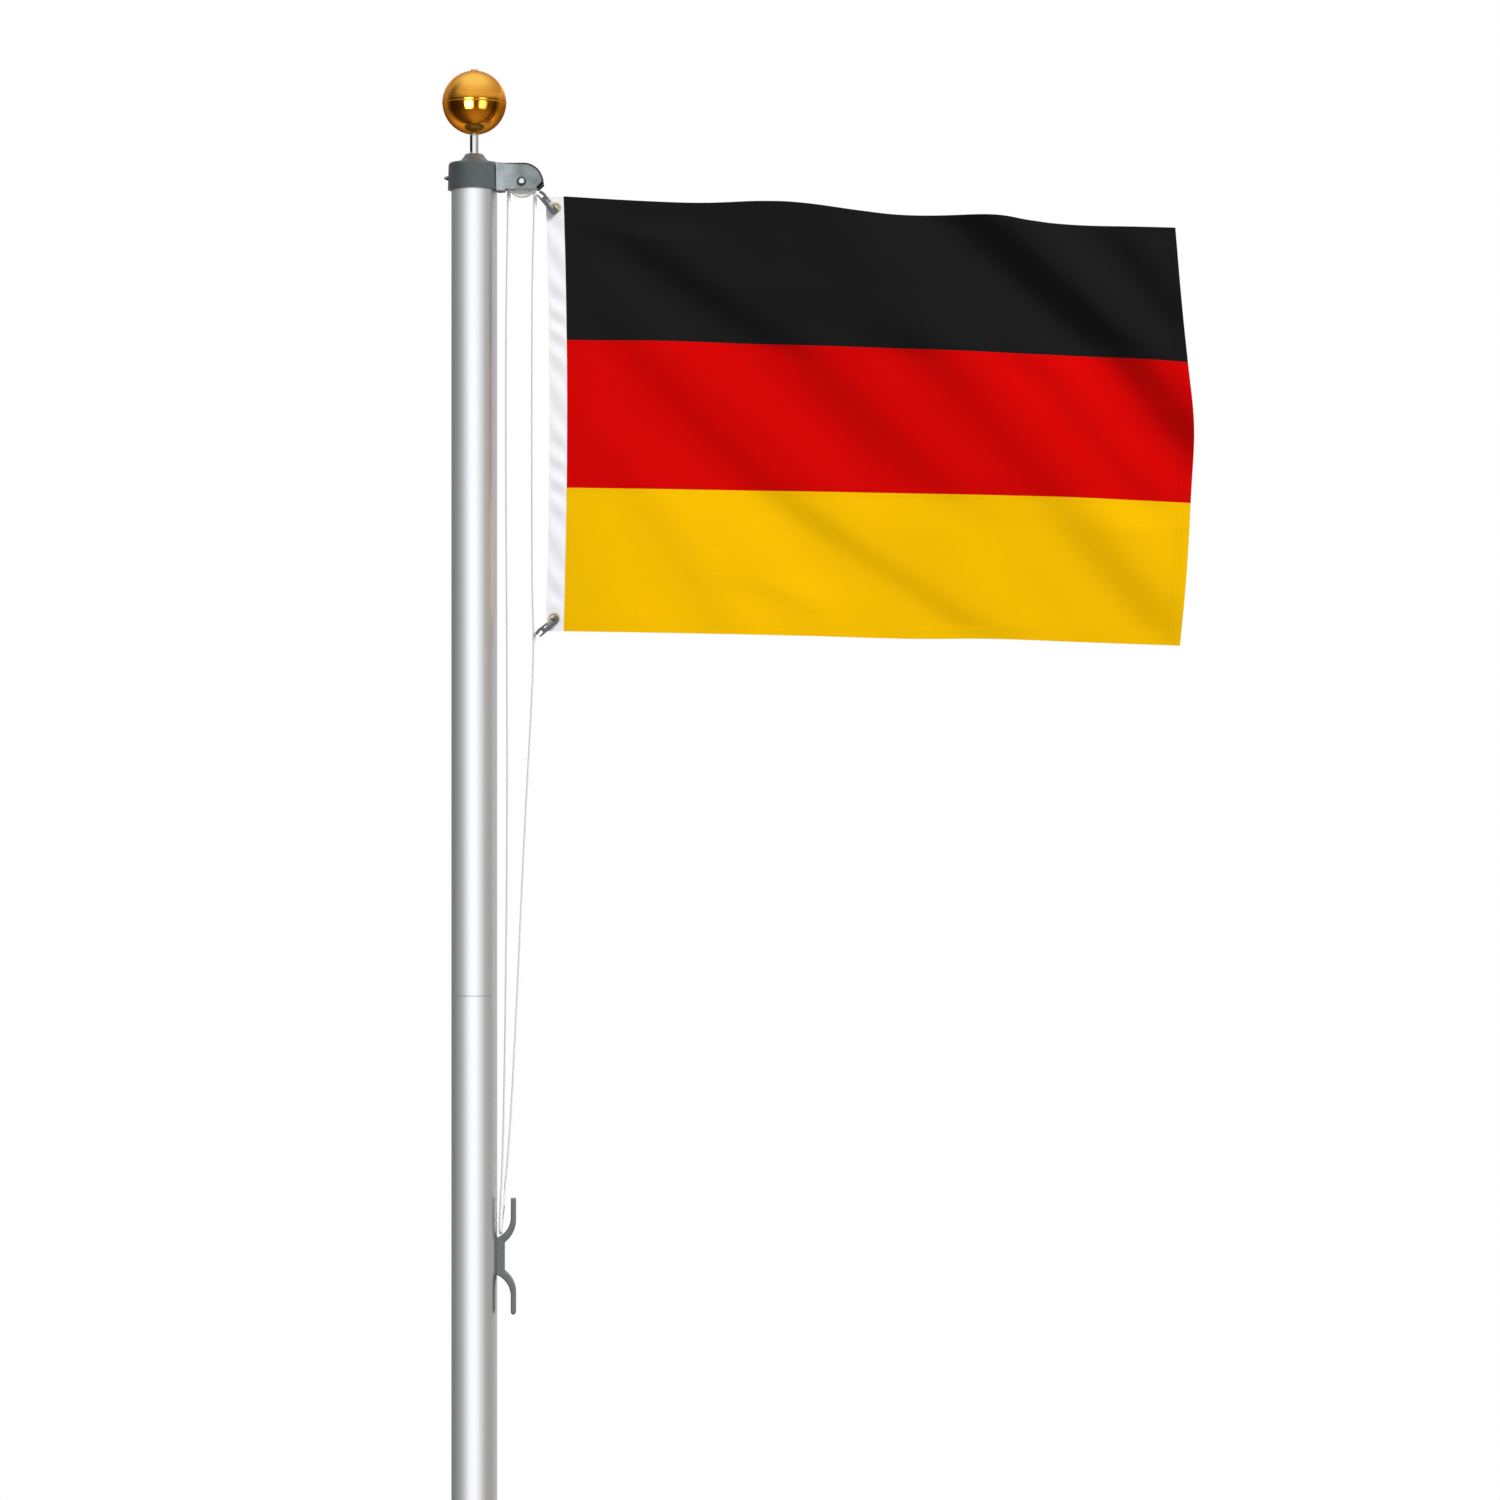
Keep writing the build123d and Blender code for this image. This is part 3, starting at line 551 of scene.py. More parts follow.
class FLAGPOLE_OT_truck(bpy.types.Operator):
    """Finish the cap, the arm, the set screw, the sheave and its pin"""
    bl_idname = "flagpole.truck"
    bl_label = "Truck"

    def execute(self, context):
        look = context.scene.pole_look
        # The cap's downward faces take 0.05 of its colour: painted shade.
        casting = coated_casting("coated_cap", look.casting, 0.8, 0.10, 0.30, under=0.05)
        # The arm's downward faces take 0.04 of its colour, painted shade, and its colour falls to 0.55 towards its end,
        # a painted falloff of light.
        hammered = coated_casting("hammered_arm", look.arm, 2.6, 0.9, 0.34, 0.35, 0.04, 0.55, 0.22)
        steel = polished_metal("plated_screw", "8A8D8D", 0.3, 0.1)
        bright = polished_metal("bright_pin", "D8D8D8", 0.16, 0.1)
        # The boss is a paler, browner grey than the collar.
        self.cap(casting, coated_casting("pale_boss", "706E69", 3.0, 0.6, 0.36, 0.5))
        # Dark grey casting for beads on the arm's edges and round the pin's heads: painted shade and painted dark
        # reflection.
        edge = coated_casting("painted_shade_edge", "2E3232", 1.0, 0.2, 0.35, 0.3)
        # Near-black bead along the chamfer under the arm's end: painted shade.
        self.arm(hammered, edge, coated_casting("painted_shade_chamfer", "060606", 1.0, 0.2, 0.85))
        seated(clean_copy("truck_set_screw", "set_screw", steel), "pole", ["truck_set_screw"])
        self.pin(bright, edge)
        self.sheave(natural_nylon(look.nylon))
        return {"FINISHED"}

    def cap(self, material, boss):
        """A drafted collar with a rounded shoulder and a waisted cone boss, hollow below."""
        top = CAP_HIGH.z
        shelf = top - 12 * MM
        foot = CAP_LOW.z
        bore = POLE_RADIUS + 0.2 * MM
        wide = CAP_HIGH.x
        narrow = wide - 1.1 * MM
        waist = [(6.05 * MM, shelf - 6 * MM), (6.05 * MM, top), (11.9 * MM, top), (16.0 * MM, shelf + 6 * MM),
                 (22.0 * MM, shelf), (22.5 * MM, shelf - 0.1 * MM)]
        seated(turned_piece("cap_boss", rounded_profile(waist, 1.0 * MM, 5), boss, segments=144), "pole", [])
        corners = [(22.0 * MM, shelf - 3 * MM), (22.0 * MM, shelf), (narrow, shelf), (wide, foot), (bore, foot),
                   (bore, shelf - 6 * MM), (6.05 * MM, shelf - 6 * MM)]
        profile = np.vstack([rounded_profile(corners[:4], 5.0 * MM, 9),
                             rounded_profile(corners[3:], 0.5 * MM, 4)[1:]])
        seated(turned_piece("cap", profile, material, segments=144), "pole", ["truck_cap"])

    def arm(self, material, edge, shade_black):
        """The arm's channel, with dark raised beads round each cheek's edge, at its joint with the collar
        and along its end's chamfer: painted shade on those edges.
        """
        body = clean_copy("truck_arm", "arm", material, 25.0)
        seated(body, "pole", ["truck_arm"])
        inset = 1.0 * MM
        left = 33.5 * MM
        top = ARM_HIGH.z - inset
        foot = ARM_LOW.z + 2.4 * MM + inset
        end = ARM_HIGH.x - inset
        turn = 27.4 * MM - inset
        nose = ARM_HIGH.z - 27.4 * MM
        arc = np.linspace(np.pi / 2, 0, 24)
        path = np.array([(left, top)] + [(end - turn + turn * math.cos(a), nose + turn * math.sin(a)) for a in arc])
        chin = np.array([(end + 0.4 * MM, nose + 0.2 * MM), (end + 0.3 * MM, nose), (end - 7.4 * MM, foot),
                         (end - 7.6 * MM, foot - 0.2 * MM)])
        joint = np.array([(30.4, 2884.4), (30.4, 2890.0), (30.4, 2913.0), (30.4, 2919.0)]) * MM
        # Rim and joint beads take the dark grey edge material and the chin bead the near-black one: painted shade along
        # the edges.
        for side, sign in (("front", -1), ("back", 1)):
            for name, line, y, radius, look in (("rim", path, 12.0, 1.1, edge), ("chin", chin, 12.0, 2.1, shade_black),
                                                ("joint", joint, 20.6, 0.9, edge)):
                bead = self.bead(f"arm_{name}_{side}", line, sign * y * MM, radius * MM, look)
                seated(bead, "pole", [])

    def bead(self, name, path, y, radius, material):
        """A half-round bead: a flattened circle carried along a path in X and Z, centred on the face."""
        turn = np.linspace(0, 2 * np.pi, 12, endpoint=False)
        step = np.gradient(path, axis=0)
        step /= np.linalg.norm(step, axis=1)[:, None]
        across = np.stack([-step[:, 1], step[:, 0]], axis=1)
        taper = np.ones(len(path))
        taper[[0, -1]] = 0.0
        reach = (radius * taper)[:, None] * np.cos(turn)
        x = path[:, 0][:, None] + across[:, 0][:, None] * reach
        z = path[:, 1][:, None] + across[:, 1][:, None] * reach
        rise = y + (radius * taper)[:, None] * np.sin(turn) * 0.55
        piece = grid_piece(name, np.stack([x, rise, z], axis=-1), material, wrap_columns=True)
        face_outwards(piece)
        return piece

    def pin(self, bright, dark):
        """The sheave's pin: at each end a bright domed head sits in a raised dark ring, painted shadow of the hollow
        round the head.
        """
        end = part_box("sheave_pin")[1].y
        face = end - 2.0 * MM
        half = rounded_profile([(0, -end), (2.6 * MM, -end), (4.4 * MM, -face - 1.0 * MM), (4.4 * MM, -face),
                                (4.0 * MM, -face), (4.0 * MM, 0)], 0.9 * MM, 5)
        profile = np.vstack([half, (half * [1, -1])[::-1]])
        seated(turned_piece("pin", profile, bright, PIN_AT, "Y", 64), "pole", ["sheave_pin"])
        for side, sign in (("front", -1), ("back", 1)):
            # Dark ring round each head: painted shadow.
            ring = rounded_profile([(4.3 * MM, face), (4.5 * MM, face + 1.0 * MM), (5.6 * MM, face + 1.2 * MM),
                                    (6.5 * MM, face), (4.3 * MM, face)], 0.4 * MM, 4)
            piece = turned_piece("pin_shade_ring_" + side, ring * [1, sign], dark, PIN_AT, "Y", 64)
            seated(piece, "pole", [])

    def sheave(self, material):
        """The grooved wheel: rim flanges, a round rope seat between them, a dished web and a longer hub."""
        rim, hub, bore = 21.0 * MM, 9.0 * MM, 4.08 * MM
        half_rim = 6.5 * MM
        half_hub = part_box("sheave")[1].y
        seat, groove = 2.9 * MM, ROPE_GROOVE * MM
        turn = np.linspace(-np.pi / 2, np.pi / 2, 15)
        flange = rounded_profile([(bore, -half_hub), (hub, -half_hub), (hub + 1 * MM, -half_rim + 1.6 * MM),
                                  (rim - 4.5 * MM, -half_rim + 1.6 * MM), (rim - 3.2 * MM, -half_rim),
                                  (rim, -half_rim), (rim, -seat - 1.9 * MM)], 0.8 * MM, 4)
        rope_seat = np.stack([groove - seat * np.cos(turn), seat * np.sin(turn)], axis=1)
        profile = np.vstack([flange, rope_seat, (flange * [1, -1])[::-1], flange[:1]])
        seated(turned_piece("sheave_wheel", profile, material, PIN_AT, "Y", 96), "sheave", ["sheave"])


class FLAGPOLE_OT_finial(bpy.types.Operator):
    """Make the spindle, the two ball halves and the top plug"""
    bl_idname = "flagpole.finial"
    bl_label = "Ball finial"

    def execute(self, context):
        gold = polished_metal("gold_anodised", context.scene.pole_look.gold, 0.06, 0.02, 0.4, "FFCC98")
        chrome = polished_metal("chromed_rod", "D9DADC", 0.07, 0.02)
        low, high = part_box("finial_spindle")
        rod = 6.0 * MM
        profile = rounded_profile([(0, low.z), (rod, low.z), (rod, high.z), (0, high.z)], 0.6 * MM, 4)
        seated(turned_piece("spindle", profile, chrome, segments=64), "pole", ["finial_spindle"])
        self.halves(gold)
        self.plug(gold)
        return {"FINISHED"}

    def arc(self, radius, turns):
        """Profile points on a circle about the ball's centre."""
        return np.stack([radius * np.cos(turns), BALL_CENTRE + radius * np.sin(turns)], axis=1)

    def halves(self, material):
        """Two spun hemispheres, each a quarter circle turned about Z. The lower one's rim has a rolled bead."""
        radius, centre = BALL_RADIUS, BALL_CENTRE
        wall = 1.2 * MM
        bead = 0.55 * MM
        hole = 4.05 * MM
        up = np.linspace(0.012, math.acos(hole / radius), 64)
        outer, inner = self.arc(radius, up), self.arc(radius - wall, up[::-1])
        lip = np.array([[radius - 0.15 * MM, centre + 0.05 * MM]])
        upper = np.vstack([lip, outer, inner, [[radius - wall, centre + 0.05 * MM]], lip])
        seated(turned_piece("ball_upper", upper, material, segments=160, crease=60), "pole",
               ["finial_ball_upper"])
        neck = 6.05 * MM
        down = -np.linspace(0.03, math.acos(neck / radius), 64)
        roll = np.linspace(np.pi / 2, -np.pi / 2, 11)
        rolled = np.stack([radius + bead * np.cos(roll) - 0.1 * MM, centre - bead * 1.1 + bead * np.sin(roll)],
                          axis=1)
        outer, inner = self.arc(radius, down), self.arc(radius - wall, down[::-1])
        start = np.array([[radius - wall, centre]])
        lower = np.vstack([start, rolled, outer, inner, start])
        seated(turned_piece("ball_lower", lower, material, segments=160, crease=60), "pole",
               ["finial_ball_lower"])

    def plug(self, material):
        """A low button: a flat top with a rolled edge that flares down on to the ball."""
        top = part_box("finial_top_plug")[1].z
        radius, centre = BALL_RADIUS, BALL_CENTRE
        edge = 5.75 * MM
        seat = centre + math.sqrt(radius ** 2 - edge ** 2)
        profile = rounded_profile([(0, top), (4.6 * MM, top), (edge, seat + 0.5 * MM), (edge, seat - 0.4 * MM),
                                   (3.9 * MM, seat - 0.6 * MM), (3.9 * MM, top - 8 * MM), (0, top - 8 * MM)],
                                  0.7 * MM, 5)
        seated(turned_piece("ball_plug", profile, material, segments=64), "pole", ["finial_top_plug"])


class FLAGPOLE_OT_fittings(bpy.types.Operator):
    """Finish the cleat, its screws, the snap clips and the grommets"""
    bl_idname = "flagpole.fittings"
    bl_label = "Cleat, clips and grommets"

    def execute(self, context):
        look = context.scene.pole_look
        cleat = coated_casting("coated_cleat", look.cleat, 0.9, 0.12, 0.40)
        steel = polished_metal("plated_steel", "8F9292", 0.28, 0.1)
        moulded = coated_casting("moulded_clip", look.clip, 0.5, 0.15, 0.38)
        brass = polished_metal("pressed_brass", look.brass, 0.22, 0.08)
        seated(clean_copy("cleat", "horn_cleat", cleat), "pole", ["cleat"])
        for node in ("cleat_screw_lower", "cleat_screw_upper"):
            seated(clean_copy(node, node + "_head", steel), "pole", [node])
        for node in ("upper_clip", "lower_clip"):
            seated(clean_copy(node, "snap_" + node, moulded), "flag", [node])
        for node in ("upper_grommet", "lower_grommet"):
            self.grommet(node, brass)
        return {"FINISHED"}

    def grommet(self, node, material):
        """A pressed eyelet: a rolled ring on each face of the header, joined by a thin barrel."""
        at = middle(node)
        out, hole = 7.8 * MM, 4.3 * MM
        cloth, rise = 0.7 * MM, 1.9 * MM
        turn = np.linspace(0, np.pi, 13)
        centre, half = (out + hole) / 2, (out - hole) / 2
        front = np.stack([centre - half * np.cos(turn), -cloth - (rise - cloth) * np.sin(turn)], axis=1)
        profile = np.vstack([front, (front * [1, -1])[::-1], front[:1]])
        seated(turned_piece(node + "_ring", profile, material, at, "Y", 64), "flag", [node])


# Halyard

def route_points(name, controls, finest):
    """Points along a smooth route: a NURBS curve of order 3 through the control points' polygon."""
    data = bpy.data.curves.new(name + "_route", "CURVE")
    data.dimensions = "3D"
    data.resolution_u = finest
    spline = data.splines.new("NURBS")
    spline.points.add(len(controls) - 1)
    spline.points.foreach_set("co", [v for p in controls for v in (p[0] * MM, p[1] * MM, p[2] * MM, 1.0)])
    spline.order_u = 3
    spline.use_endpoint_u = True
    holder = bpy.data.objects.new(name + "_route", data)
    mesh = bpy.data.meshes.new_from_object(holder)
    points = np.array([v.co for v in mesh.vertices])
    bpy.data.objects.remove(holder)
    bpy.data.meshes.remove(mesh)
    return points


def evenly(points, step):
    """The same line read again at even steps along its length."""
    along = np.concatenate([[0], np.cumsum(np.linalg.norm(np.diff(points, axis=0), axis=1))])
    count = max(2, int(round(along[-1] / step)) + 1)
    at = np.linspace(0, along[-1], count)
    return np.stack([np.interp(at, along, points[:, i]) for i in range(3)], axis=1), at


def braided(name, controls, look, material):
    """A braided rope along a route.

    The section is a circle whose radius rises where strands cross over: with n strands each way, at
    turn a and distance s, two families of ridges cos(n a + k s) and cos(n a - k s) are woven by taking
    the higher of the two. Ends are closed to a point."""
    line, along = evenly(route_points(name, controls, 24), 1.0 * MM)
    ahead = np.gradient(line, axis=0)
    ahead /= np.linalg.norm(ahead, axis=1)[:, None]
    side = np.cross(ahead, np.array([0.0, 1.0, 0.0]) + 0.001)
    side /= np.linalg.norm(side, axis=1)[:, None]
    other = np.cross(ahead, side)
    turn = np.linspace(0, 2 * np.pi, 28, endpoint=False)
    a, s = turn[None, :], along[:, None]
    n, k = look.strands, 2 * np.pi * look.strands / look.lay
    left = 0.5 + 0.5 * np.cos(n * a + k * s)
    right = 0.5 + 0.5 * np.cos(n * a - k * s)
    crown = np.maximum(left, right) ** 0.7
    radius = look.diameter / 2 * (0.86 + 0.14 * crown)
    points = (line[:, None] + side[:, None] * (radius * np.cos(a))[..., None]
              + other[:, None] * (radius * np.sin(a))[..., None])
    ends = [np.repeat(end[None, None], len(turn), axis=1) for end in (line[0], line[-1])]
    crown = np.vstack([crown[:1] * 0 + 0.5, crown, crown[:1] * 0 + 0.5])
    piece = grid_piece(name, np.concatenate([ends[0], points, ends[1]]), material, wrap_columns=True, crease=80,
                       values={"braid": crown})
    face_outwards(piece)
    return piece, line


BIGHT = (36.6, 5.2, 1444.5)  # mm: where the bight in the cleat's crotch ends


def bight_and_fall():
    """The fall's route: the bight in the cleat's crotch, the fall, and the turn over the sheave."""
    x, r, z = BIGHT
    sheave_x, sheave_z, groove = PIN_AT.x / MM, PIN_AT.z / MM, ROPE_GROOVE
    route = [(x, r, z), (x, r, z - 0.94 * r), (x, -r, z - 0.94 * r), (x, -r, z + 14), (41.0, -4.9, 1540),
             (45.2, -4.1, 1764), (47.4, -3.0, 2060), (46.6, -2.3, 2255), (45.2, -1.4, 2500), (45.5, -0.6, 2730),
             (sheave_x - groove, 0, sheave_z - 44), (sheave_x - groove, 0, sheave_z - 4)]
    wheel = groove / math.cos(math.radians(15))
    for degrees in range(165, 0, -30):
        turn = math.radians(degrees)
        route.append((sheave_x + wheel * math.cos(turn), 0, sheave_z + wheel * math.sin(turn)))
    route.append((sheave_x + groove, 0, sheave_z))
    return route


class FLAGPOLE_OT_halyard(bpy.types.Operator):
    """Make the halyard's four runs"""
    bl_idname = "flagpole.halyard"
    bl_label = "Halyard"

    def execute(self, context):
        look = context.scene.rope_look
        material = braided_rope(look.colour)
        sheave_z = PIN_AT.z / MM
        down_x = PIN_AT.x / MM + ROPE_GROOVE
        clip_x, clip_z = 83.2, 2262.0
        split = sheave_z - 14.0
        self.taut("rope_fall", bight_and_fall(), "pole", "halyard_fall", look, material)
        drop = (split, split + 5, sheave_z - 5, sheave_z)
        upper, line = braided("rope_upper_run", [(down_x, 0, z) for z in drop], look, material)
        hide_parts("halyard_upper_run")
        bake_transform(upper)
        route = [(clip_x, 0, clip_z), (clip_x, 0, clip_z + 14), (81.3, 0, 2340), (81.0, 0, 2560),
                 (81.5, 0, 2765), (down_x, 0, sheave_z - 50), (down_x, 0, split)]
        self.taut("rope_flag_run", route, "flag", "halyard_middle_run", look, material)
        route = [BIGHT, (*BIGHT[:2], 1453.5), (48.5, 4.6, 1540), (60.4, 3.2, 1764), (69.0, 1.9, 1962),
                 (80.6, 0.5, 2170), (clip_x, 0, clip_z - 30), (clip_x, 0, clip_z)]
        lower = self.taut("rope_lower_run", route, "pole", "halyard_lower_run", look, material)
        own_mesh(lower)
        return {"FINISHED"}

    def taut(self, name, controls, body, node, look, material):
        """Make a run that rides on one body."""
        piece, line = braided(name, controls, look, material)
        seated(piece, body, [node])
        return piece


# Flag

def hoist_line(share, x):
    """The bowed hoist edge: X at a share of the height, a parabola 5 mm deep."""
    return x + 5.0 * (1 - (2 * share - 1) ** 2)


# Lines measured on the photograph, in mm from the pole's axis and the ground
HOIST_LOW, HOIST_HIGH = 2272.3, 2874.0
BORDERS = {
    "bottom": [(124.6, 2272.2), (290, 2269.4), (451, 2266), (600, 2261.8), (714, 2261.6), (826, 2257.4), (977, 2251.6)],
    "gold_red": [(124.6, 2469.5), (270, 2467.4), (396, 2465.5), (590, 2461.8), (784, 2457.3), (890, 2452.6),
                 (991, 2447.3)],
    "red_black": [(124.6, 2675), (270, 2673.8), (397, 2669.6), (590, 2662.8), (784, 2654.8), (890, 2650.1),
                  (988, 2642.2)],
    "top": [(124.6, 2874.6), (298, 2866.3), (396, 2868.2), (452, 2865.8), (534, 2854.7), (600, 2848.9), (714, 2848.5),
            (770, 2840.2), (826, 2834.9), (970, 2830)],
}
FLY_EDGE = [(975.4, 2251.6), (984.4, 2352), (990.5, 2451), (995.1, 2537), (986.5, 2645), (977, 2727), (970, 2830)]
FOLDS = [
    (38, [(174, 2839, 0.0), (205, 2817, 5.5), (416, 2678, 6.0), (462, 2650, 5.0), (628, 2484, 4.2), (700, 2412, 0.0)]),
    (33, [(130, 2780, 0.0), (213, 2659, 3.9), (389, 2484, 3.6), (426, 2456, 2.8), (684, 2281, 2.8)]),
    (28, [(188, 2537, 0.0), (232, 2456, 2.6), (333, 2299, 2.8), (350, 2270, 2.6)]),
    (44, [(520, 2745, 0.0), (555, 2696, 4.0), (628, 2650, 6.0), (795, 2465, 5.4), (915, 2318, 5.0), (950, 2274, 4.0)]),
    (26, [(728, 2689, 1.0), (786, 2631, 3.4), (925, 2465, 3.4), (957, 2412, 0.6)]),
    (42, [(640, 2884, 8.0), (703, 2835, 13.0), (887, 2668, 15.5), (989, 2540, 13.0), (1040, 2475, 8.0)]),
    (28, [(874, 2839, 2.5), (905, 2797, 5.5), (970, 2706, 7.0), (1010, 2640, 4.0)]),
    (26, [(371, 2354, 0.0), (420, 2322, 1.3), (470, 2292, 1.0)]),
]
FOLD_REACH = 120.0


def cloth_lie(x, z):
    """How far the cloth stands back from the halyard's plane, in mm.

    Each fold follows a line of (x, z, height) points down the cloth. Across it, at distance d, the cloth
    steps forwards by -height * tanh(d / width) and comes back over FOLD_REACH. Two faint ripples run
    between. All of it grows from nothing at the hoist and is deeper near the top, and the fly's last third
    curls forwards as a parabola."""
    lie = np.zeros_like(x)
    for width, line in FOLDS:
        across, down, height = np.array(line)[::-1].T
        d = x - np.interp(z, down, across, left=across[0], right=across[-1])
        fade = np.clip((z - down[0] + 60) / 60, 0, 1) * np.clip((down[-1] + 60 - z) / 60, 0, 1)
        lie -= np.interp(z, down, height) * fade * np.tanh(d / width) * np.exp(-(d / FOLD_REACH) ** 2)
    s = x - 0.9 * (HOIST_HIGH - z)
    lie += 5.0 * np.sin((x - 0.55 * (HOIST_HIGH - z)) / 118.0)
    lie += 0.35 * np.sin(s / 21.0 + 1.3 * np.sin(z / 70.0)) + 0.3 * np.sin(x / 33.0 - z / 29.0)
    grow = 1 - np.exp(-np.clip(x - 118.0, 0, None) / 70.0)
    lie *= grow * np.interp(z, [2260.0, 2470.0, 2650.0, 2780.0], [0.8, 1.12, 1.2, 1.5])
    return lie - 19.0 * (np.clip(x - 690.0, 0, None) / 300.0) ** 2


def stripe_grid(look):
    """X and Z of the cloth's grid, in mm: rows rise from the bottom edge, columns run from hoist to fly."""
    v = np.linspace(0, 1, look.rows + 1)
    u = np.linspace(0, 1, look.columns + 1)
    left = hoist_line(v, CLOTH_LEFT)
    fly = smooth_line(FLY_EDGE, v)[:, 0]
    x = left[:, None] + (fly - left)[:, None] * u[None, :]
    lines = [smooth_line(border, np.linspace(0, 1, 400)) for border in BORDERS.values()]
    heights = np.stack([np.interp(x, line[:, 0], line[:, 1]) for line in lines])
    z = np.empty_like(x)
    for row, level in enumerate(v):
        k = min(int(level * 3), 2)
        share = level * 3 - k
        z[row] = heights[k, row] * (1 - share) + heights[k + 1, row] * share
    return u, v, x, z


def stitch_mask(u, v, fly, hoist):
    """How strongly the sewing darkens the cloth: two lines of stitches at each hem and seam, 0 to 1."""
    across = v[:, None] * hoist
    along = u[None, :] * fly
    mask = np.zeros((len(v), len(u)))
    seams = [hoist * third / 3 + side for third in (1, 2) for side in (-0.003, 0.003)]
    for line in (0.010, *seams, hoist - 0.010):
        mask = np.maximum(mask, np.exp(-((across - line) / 0.0016) ** 2) * np.ones_like(along))
    for line in (fly - 0.010, fly - 0.018):
        mask = np.maximum(mask, np.exp(-((along - line) / 0.0022) ** 2) * np.ones_like(across))
    return mask


class FLAGPOLE_OT_flag(bpy.types.Operator):
    """Make the striped cloth and its header"""
    bl_idname = "flagpole.flag"
    bl_label = "Flag"

    def execute(self, context):
        look = context.scene.flag_look
        header = self.header(look, duck_tape(look.header))
        cloth = self.cloth(look, flag_cloth((look.top, look.centre, look.bottom), look.hoist))
        return {"FINISHED"}

    def thicken(self, piece, thickness):
        """Give the cloth its thickness, half to each side, with a crisp edge all round."""
        with editing(piece.data) as work:
            for edge in work.edges:
                edge.smooth = not edge.is_boundary
        solid = piece.modifiers.new("thickness", "SOLIDIFY")
        solid.thickness = thickness
        solid.offset = 0.0
        solid.use_even_offset = False

    def cloth(self, look, material):
        """The three stripes as one folded surface."""
        u, v, x, z = stripe_grid(look)
        points = np.stack([x, cloth_lie(x, z), z], axis=-1) * MM
        fly = look.fly - HEADER_WIDE
        uv = np.stack(np.broadcast_arrays(u[None, :] * fly, v[:, None] * look.hoist), axis=-1)
        piece = grid_piece("striped_cloth", points, material, uv=uv, crease=180,
                           values={"stitch": stitch_mask(u, v, fly, look.hoist)})
        self.thicken(piece, look.thickness)
        return seated(piece, "flag", ["flag_stripe_upper", "flag_stripe_middle", "flag_stripe_lower"])

    def header(self, look, material):
        """A doubled band of duck along the hoist, gathered a little between the grommets."""
        v, u = np.linspace(0, 1, 241), np.linspace(0, 1, 13)
        left = hoist_line(v, CLOTH_LEFT - HEADER_WIDE / MM)
        x = left[:, None] + HEADER_WIDE / MM * u[None, :] + 0 * v[:, None]
        z = HOIST_LOW + (HOIST_HIGH - HOIST_LOW) * v[:, None] + 0 * u[None, :]
        pucker = 0.8 * np.sin(z / 6.5 + 1.8 * np.sin(z / 33.0) + 1.4 * u[None, :]) * np.sin(np.pi * u)[None, :]
        calm = 1 - np.exp(-((z - 2290.6) / 16.0) ** 2) - np.exp(-((z - 2858.8) / 16.0) ** 2)
        points = np.stack([x, pucker * calm, z], axis=-1) * MM
        uv = np.stack(np.broadcast_arrays(u[None, :] * HEADER_WIDE, v[:, None] * look.hoist), axis=-1)
        piece = grid_piece("header_band", points, material, uv=uv, crease=180)
        self.thicken(piece, 1.2 * MM)
        return seated(piece, "flag", ["flag_header"])


# Studio

